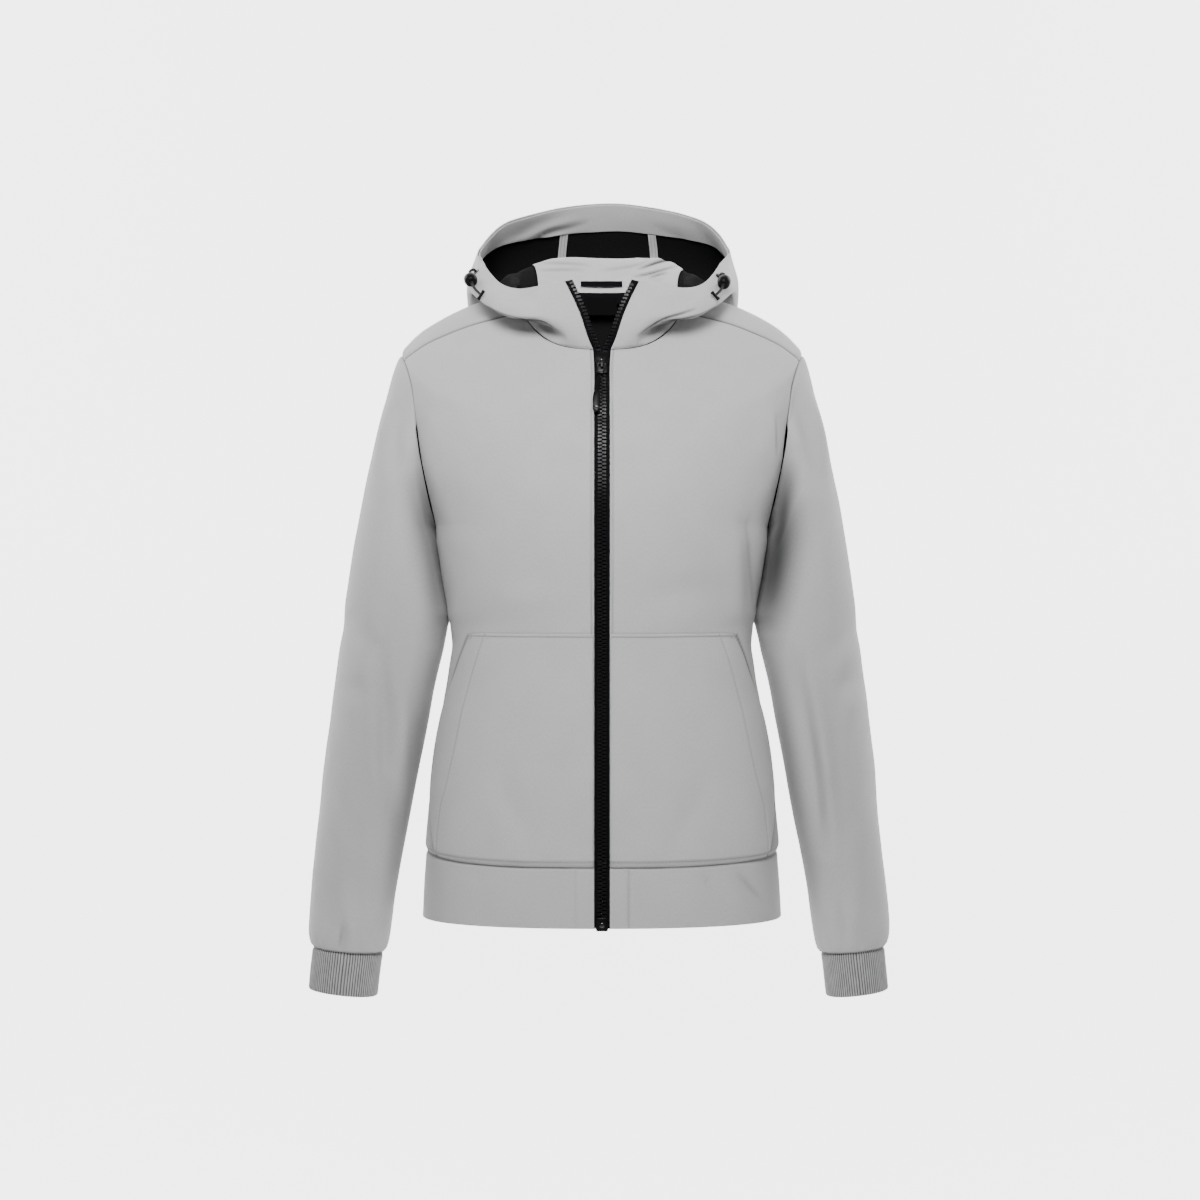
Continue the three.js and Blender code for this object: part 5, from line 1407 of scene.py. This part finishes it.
# spindle of four sides with pointed ends
STITCH_SHAPE = [(0, 0, -1.0), (0.26, 0, -0.75), (0, 0.2, -0.75), (-0.26, 0, -0.75), (0, -0.14, -0.75),
                (0.26, 0, 0.75), (0, 0.2, 0.75), (-0.26, 0, 0.75), (0, -0.14, 0.75), (0, 0, 1.0)]
STITCH_FACES = [[0, 2, 1], [0, 3, 2], [0, 4, 3], [0, 1, 4], [1, 2, 6, 5], [2, 3, 7, 6], [3, 4, 8, 7],
                [4, 1, 5, 8], [9, 5, 6], [9, 6, 7], [9, 7, 8], [9, 8, 5]]


class Stitching:
    """Collects rows of stitches that lie on the cloth, then makes them one mesh."""

    def __init__(self):
        self.centres, self.frames = [], []

    def row(self, points, normals, closed=False):
        if closed:
            points, normals = np.concatenate([points, points[:1]]), np.concatenate([normals, normals[:1]])
        length = length_along(points)
        at = np.arange(STITCH, length[-1] - STITCH / 2, STITCH + STITCH_GAP)
        if len(at) < 2:
            return
        p = np.stack([np.interp(at, length, points[:, k]) for k in range(3)], -1)
        n = unit(np.stack([np.interp(at, length, normals[:, k]) for k in range(3)], -1))
        q = np.stack([np.interp(at + 0.5, length, points[:, k]) for k in range(3)], -1)
        way = unit(q - p)
        self.centres.append(p + n * 0.02)
        self.frames.append(np.stack([np.cross(n, way), n, way * STITCH / 2], 1))

    def make(self, name, material):
        piece = boxes_mesh(name, np.concatenate(self.centres), np.concatenate(self.frames),
                           STITCH_SHAPE, STITCH_FACES)
        return finish_piece(piece, [material], None)


def make_stitching():
    thread = Stitching()
    # hem band seam, just above it, from zip to zip round the back
    start = float(turn_at(2.15, ZIP_EDGE + 4))
    turn = np.linspace(start, 360 - start, 700)
    own = np.where(turn <= 180, turn, 360 - turn)
    level = rows_from_heights(ROW_2 + HEM_STITCHES)
    edge = float(pocket_turn(level))
    lift = np.where(own < edge, pocket_lift(level, np.clip(own / edge, 0, 1)) + 0.8, -0.45)
    thread.row(*body_surface(np.full(700, level), turn, lift))
    pocket_top_z = SIDE_Z[HEIGHTS <= POCKET_TOP][-1]
    for side in (1, -1):
        def sided(t, side=side):
            return t if side > 0 else 360 - t
        # beside the zip
        rows = np.linspace(2.2, NECK, 330)
        turn = turn_at(rows, zip_edge_x(read_table(BODY, rows)[:, 2]) + 2.2)
        lift = np.where(rows < POCKET_TOP, pocket_lift(rows, 0.0) + 1.2, -0.45)
        thread.row(*body_surface(rows, sided(turn), lift))
        # pocket: along the slanted opening and across its top
        rows = np.linspace(2.3, POCKET_TOP, 160)
        thread.row(*body_surface(rows, sided(stitch_turn(rows)), pocket_lift(rows, POCKET_SEAM) + 0.75))
        turn = np.linspace(float(turn_at(POCKET_TOP, ZIP_EDGE + 3)), float(pocket_turn(POCKET_TOP)) - 1, 120)
        rows = np.full(120, rows_from_heights(pocket_top_z - POCKET_TOP_STITCHES))
        thread.row(*body_surface(rows, sided(turn), pocket_lift(rows, turn / POCKET_EDGE[-1, 1]) + 0.75))
        # bar tack at the pocket's outer corner
        corner = float(pocket_turn(POCKET_TOP))
        for drop in (1.6, 2.5, 3.4, 4.3):
            level = float(rows_from_heights(pocket_top_z - drop))
            turn = np.linspace(corner - 4.2, corner - 0.5, 14)
            thread.row(*body_surface(np.full(14, level), sided(turn), pocket_lift(level, 0.97) + 1.45))
        # shoulder, on the body's side of the seam
        rows = np.linspace(SHOULDER, NECK, 80)
        turn = shoulder_seam_turn(rows) + 2.6
        thread.row(*body_surface(rows, sided(turn), -0.1))
    thread.make("seam_stitches", thread_grey)
    sleeves = Stitching()
    for name, side in (("sleeve_left", 1), ("sleeve_right", -1)):
        points, normals = sleeve_grid(side, SLEEVE_COLUMNS)
        last = row_distances(points)[3]
        outer = points - normals * sleeve_inward(name, side, points, normals)[..., None]
        line, out = [], []
        for c in range(points.shape[1]):
            order = np.argsort(last[:, c])
            up = last[order, c]
            line.append([np.interp(SLEEVE_HEM_STITCHES, up, outer[order, c, k]) for k in range(3)])
            out.append([np.interp(SLEEVE_HEM_STITCHES, up, normals[order, c, k]) for k in range(3)])
        sleeves.row(np.array(line), unit(np.array(out)), closed=True)
    sleeves.make("sleeve_hem_stitches", thread_grey)


# cords, locks and eyelets
CORD_RADIUS = 1.4
# how far the eyelet sinks into the cloth, then the cord's places: turn, up and height over the hood
CORDS = {
    "left": (0, [(87, 0.92, 0), (87, 0.92, 4), (85, 0.88, 7), (80, 0.82, 7), (74, 0.76, 6.4), (68, 0.72, 5)]),
    "right": (0.9, [(264, 0.9, 0), (264, 0.9, 4), (266, 0.86, 7), (272, 0.8, 7), (279, 0.74, 6.4),
                    (286, 0.7, 5)]),
}
# radius, height along the axis
EYELET_RIM = [(2.0, 0.3), (4.5, 0.3), (4.7, 0.8), (4.4, 1.4), (3.4, 1.9), (2.5, 1.8), (2.0, 1.4)]
LOCK_BODY = [(1.9, -7.5), (3.6, -7.5), (4.6, -7.0), (5.0, -6.2), (5.0, -4.6), (6.2, -4.2), (6.9, -2.6),
             (7.0, 0), (6.8, 2.8), (5.6, 5.9), (4.2, 7.0), (1.9, 7.0)]
END_BAR = [(0.01, -5.6), (1.4, -5.5), (2.0, -4.8), (1.9, -3.6), (1.55, -2.4), (1.6, 0), (1.55, 2.4),
           (1.9, 3.6), (2.0, 4.8), (1.4, 5.5), (0.01, 5.6)]


def smooth_line(points, count):
    """A round-cornered line through points, at equal steps along it."""
    at = np.linspace(0, len(points) - 1, 12 * (len(points) - 1) + 1)
    fine = read_table(np.asarray(points, float), at)
    length = length_along(fine)
    even = np.linspace(0, length[-1], count)
    return np.stack([np.interp(even, length, fine[:, k]) for k in range(3)], -1), length[-1]


def tube_mesh(name, line, radius, sides=12):
    way = unit(np.gradient(line, axis=0))
    across = unit(np.cross(way[0], [0.3, 0.2, 1.0]))
    rings = []
    for p, w in zip(line, way):
        across = unit(across - w * np.dot(across, w))
        other = np.cross(w, across)
        a = np.arange(sides) * TAU / sides
        rings.append(p + radius * (np.cos(a)[:, None] * across + np.sin(a)[:, None] * other))
    rings = np.array(rings)
    count = len(line)
    vertices = np.concatenate([rings.reshape(-1, 3), line[:1], line[-1:]]) * MM
    index = np.arange(count * sides).reshape(count, sides)
    faces = []
    for j in range(count - 1):
        for i in range(sides):
            k = (i + 1) % sides
            faces.append([index[j, i], index[j, k], index[j + 1, k], index[j + 1, i]])
    for i in range(sides):
        k = (i + 1) % sides
        faces.append([count * sides, index[0, k], index[0, i]])
        faces.append([count * sides + 1, index[-1, i], index[-1, k]])
    mesh = bpy.data.meshes.new(name)
    mesh.from_pydata(vertices.tolist(), [], [[int(v) for v in f] for f in faces])
    steps = length_along(line)
    flat = [[radius * TAU * i / sides * MM, steps[j] * MM, 0] for j in range(count) for i in range(sides)]
    flat += [[0, 0, 0], [0, steps[-1] * MM, 0]]
    store = mesh.attributes.new("cloth_map", "FLOAT_VECTOR", "POINT")
    store.data.foreach_set("vector", np.array(flat, np.float32).ravel())
    return add_object(name, mesh)


def turned_piece(name, profile, sides, at, direction, node):
    """A turned shape: profile is radius and height along its axis."""
    bpy.ops.object.select_all(action="DESELECT")
    bpy.ops.mesh.primitive_cylinder_add(vertices=sides, radius=1, depth=1, end_fill_type="NOTHING")
    piece = bpy.context.object
    mesh = bpy.data.meshes.new(name)
    profile = np.asarray(profile, float)
    a = np.arange(sides) * TAU / sides
    rings = np.stack([np.stack([r * np.cos(a), r * np.sin(a), 0 * a + h], -1) for r, h in profile])
    turn = Vector((0, 0, 1)).rotation_difference(Vector(direction.tolist())).to_matrix()
    points = rings.reshape(-1, 3) @ np.array(turn).T + at
    count = len(profile)
    index = np.arange(count * sides).reshape(count, sides)
    faces = []
    for j in range(count):
        n = (j + 1) % count
        for i in range(sides):
            k = (i + 1) % sides
            faces.append([int(index[j, i]), int(index[j, k]), int(index[n, k]), int(index[n, i])])
    mesh.from_pydata((points * MM).tolist(), [], faces)
    old = piece.data
    piece.data = mesh
    piece.name = name
    piece.matrix_world = Matrix.Identity(4)
    bpy.data.meshes.remove(old)
    bpy.ops.object.mode_set(mode="EDIT")
    bpy.ops.mesh.select_all(action="SELECT")
    bpy.ops.mesh.normals_make_consistent(inside=False)
    bpy.ops.object.mode_set(mode="OBJECT")
    bpy.ops.object.shade_smooth_by_angle(angle=math.radians(40))
    return finish_piece(piece, [glossy_moulded], node)


def make_cords():
    for name, (sunk, places) in CORDS.items():
        spots = np.array(places, float)
        p = hood_point(spots[:, 0], spots[:, 1])
        n = hood_normal(spots[:, 0], spots[:, 1])
        points = p + n * spots[:, 2:3]
        seat, out = p[0] - n[0] * sunk, n[0]
        points[0] = seat + out * 1.5
        line, length = smooth_line(points, 60)
        cord = tube_mesh(f"drawcord_{name}_braid", line, CORD_RADIUS)
        finish_piece(cord, [cord_braid], f"drawcord_{name}")
        turned_piece(f"eyelet_{name}_ring", EYELET_RIM, 32, seat, out, f"eyelet_{name}")
        way = unit(points[4] - points[2])
        lock = turned_piece(f"cord_lock_{name}_body", LOCK_BODY, 28, points[3], way, f"cord_lock_{name}")
        way = unit(points[5] - points[4])
        outside = hood_normal(spots[5:6, 0], spots[5:6, 1])[0]
        cross = unit(np.cross(way, outside))
        end = turned_piece(f"cord_end_{name}_bar", END_BAR, 20, points[5] + way * 0.9, cross,
                           f"cord_end_{name}")


# the whole garment
make_body()
for pocket_name, pocket_side in (("left", 1), ("right", -1)):
    pocket(pocket_name, pocket_side)
for sleeve_name, sleeve_side in (("sleeve_left", 1), ("sleeve_right", -1)):
    sleeve(sleeve_name, sleeve_side)
for cuff_name, cuff_side in (("cuff_left", 1), ("cuff_right", -1)):
    cuff(cuff_name, cuff_side)
make_hood()
make_neck()
make_zip()
make_pull()
make_stitching()
make_cords()


# studio
# name, place, aim, size, power
LIGHTS = [
    ("key", (-0.6, -1.8, 1.0), (0, 0, -0.2), 0.7, 8),
    ("upper", (-0.05, -1.2, 0.52), (0, 0, -0.15), 0.45, 26),
    ("fill", (1.5, -2.0, 0.8), (0, 0, -0.3), 1.0, 4),
    ("top", (0, 0.3, 2.4), (0, 0, 0), 1.8, 8),
    ("backdrop_left", (-2.4, 1.2, 1.6), (0, 3.0, -0.2), 1.6, 90),
    ("backdrop_right", (2.4, 1.2, 1.6), (0, 3.0, -0.2), 1.6, 90),
]


def studio():
    floor_mesh = bpy.data.meshes.new("studio_sweep")
    bend_from, bend, floor = 1.6, 1.4, -1.6
    profile = [(-9.0, floor), (bend_from, floor)]
    for a in np.linspace(0.1, math.pi / 2, 14):
        profile.append((bend_from + bend * math.sin(a), floor + bend - bend * math.cos(a)))
    profile.append((3.0, 6.0))
    points = [(x, y, z) for y, z in profile for x in (-9.0, 9.0)]
    faces = [[2 * k, 2 * k + 1, 2 * k + 3, 2 * k + 2] for k in range(len(profile) - 1)]
    floor_mesh.from_pydata(points, [], faces)
    sweep = add_object("studio_sweep", floor_mesh)
    paint = bpy.data.materials.new("studio_paper")
    paint.use_nodes = True
    shader = paint.node_tree.nodes["Principled BSDF"]
    shader.inputs["Base Color"].default_value = (0.8, 0.8, 0.8, 1)
    shader.inputs["Roughness"].default_value = 0.95
    shader.inputs["Specular IOR Level"].default_value = 0.0
    floor_mesh.materials.append(paint)
    # the upright part is lit paper of its own
    glow = paint.copy()
    glow.name = "studio_lit_paper"
    shader = glow.node_tree.nodes["Principled BSDF"]
    shader.inputs["Emission Color"].default_value = (1, 1, 1, 1)
    shader.inputs["Emission Strength"].default_value = 2.9
    floor_mesh.materials.append(glow)
    for face in floor_mesh.polygons:
        face.material_index = 1 if face.center.y > bend_from else 0
    for name, place, aim, size, power in LIGHTS:
        lamp = bpy.data.lights.new(name, "AREA")
        lamp.shape = "SQUARE"
        lamp.size = size
        lamp.energy = power
        thing = bpy.data.objects.new(name, lamp)
        stage_collection.objects.link(thing)
        thing.location = place
        thing.rotation_euler = (Vector(aim) - Vector(place)).to_track_quat("-Z", "Y").to_euler()
    world = bpy.data.worlds.new("studio_air")
    bpy.context.scene.world = world
    world.use_nodes = True
    world.node_tree.nodes["Background"].inputs["Color"].default_value = (0.84, 0.84, 0.84, 1)
    world.node_tree.nodes["Background"].inputs["Strength"].default_value = 0.1


studio()
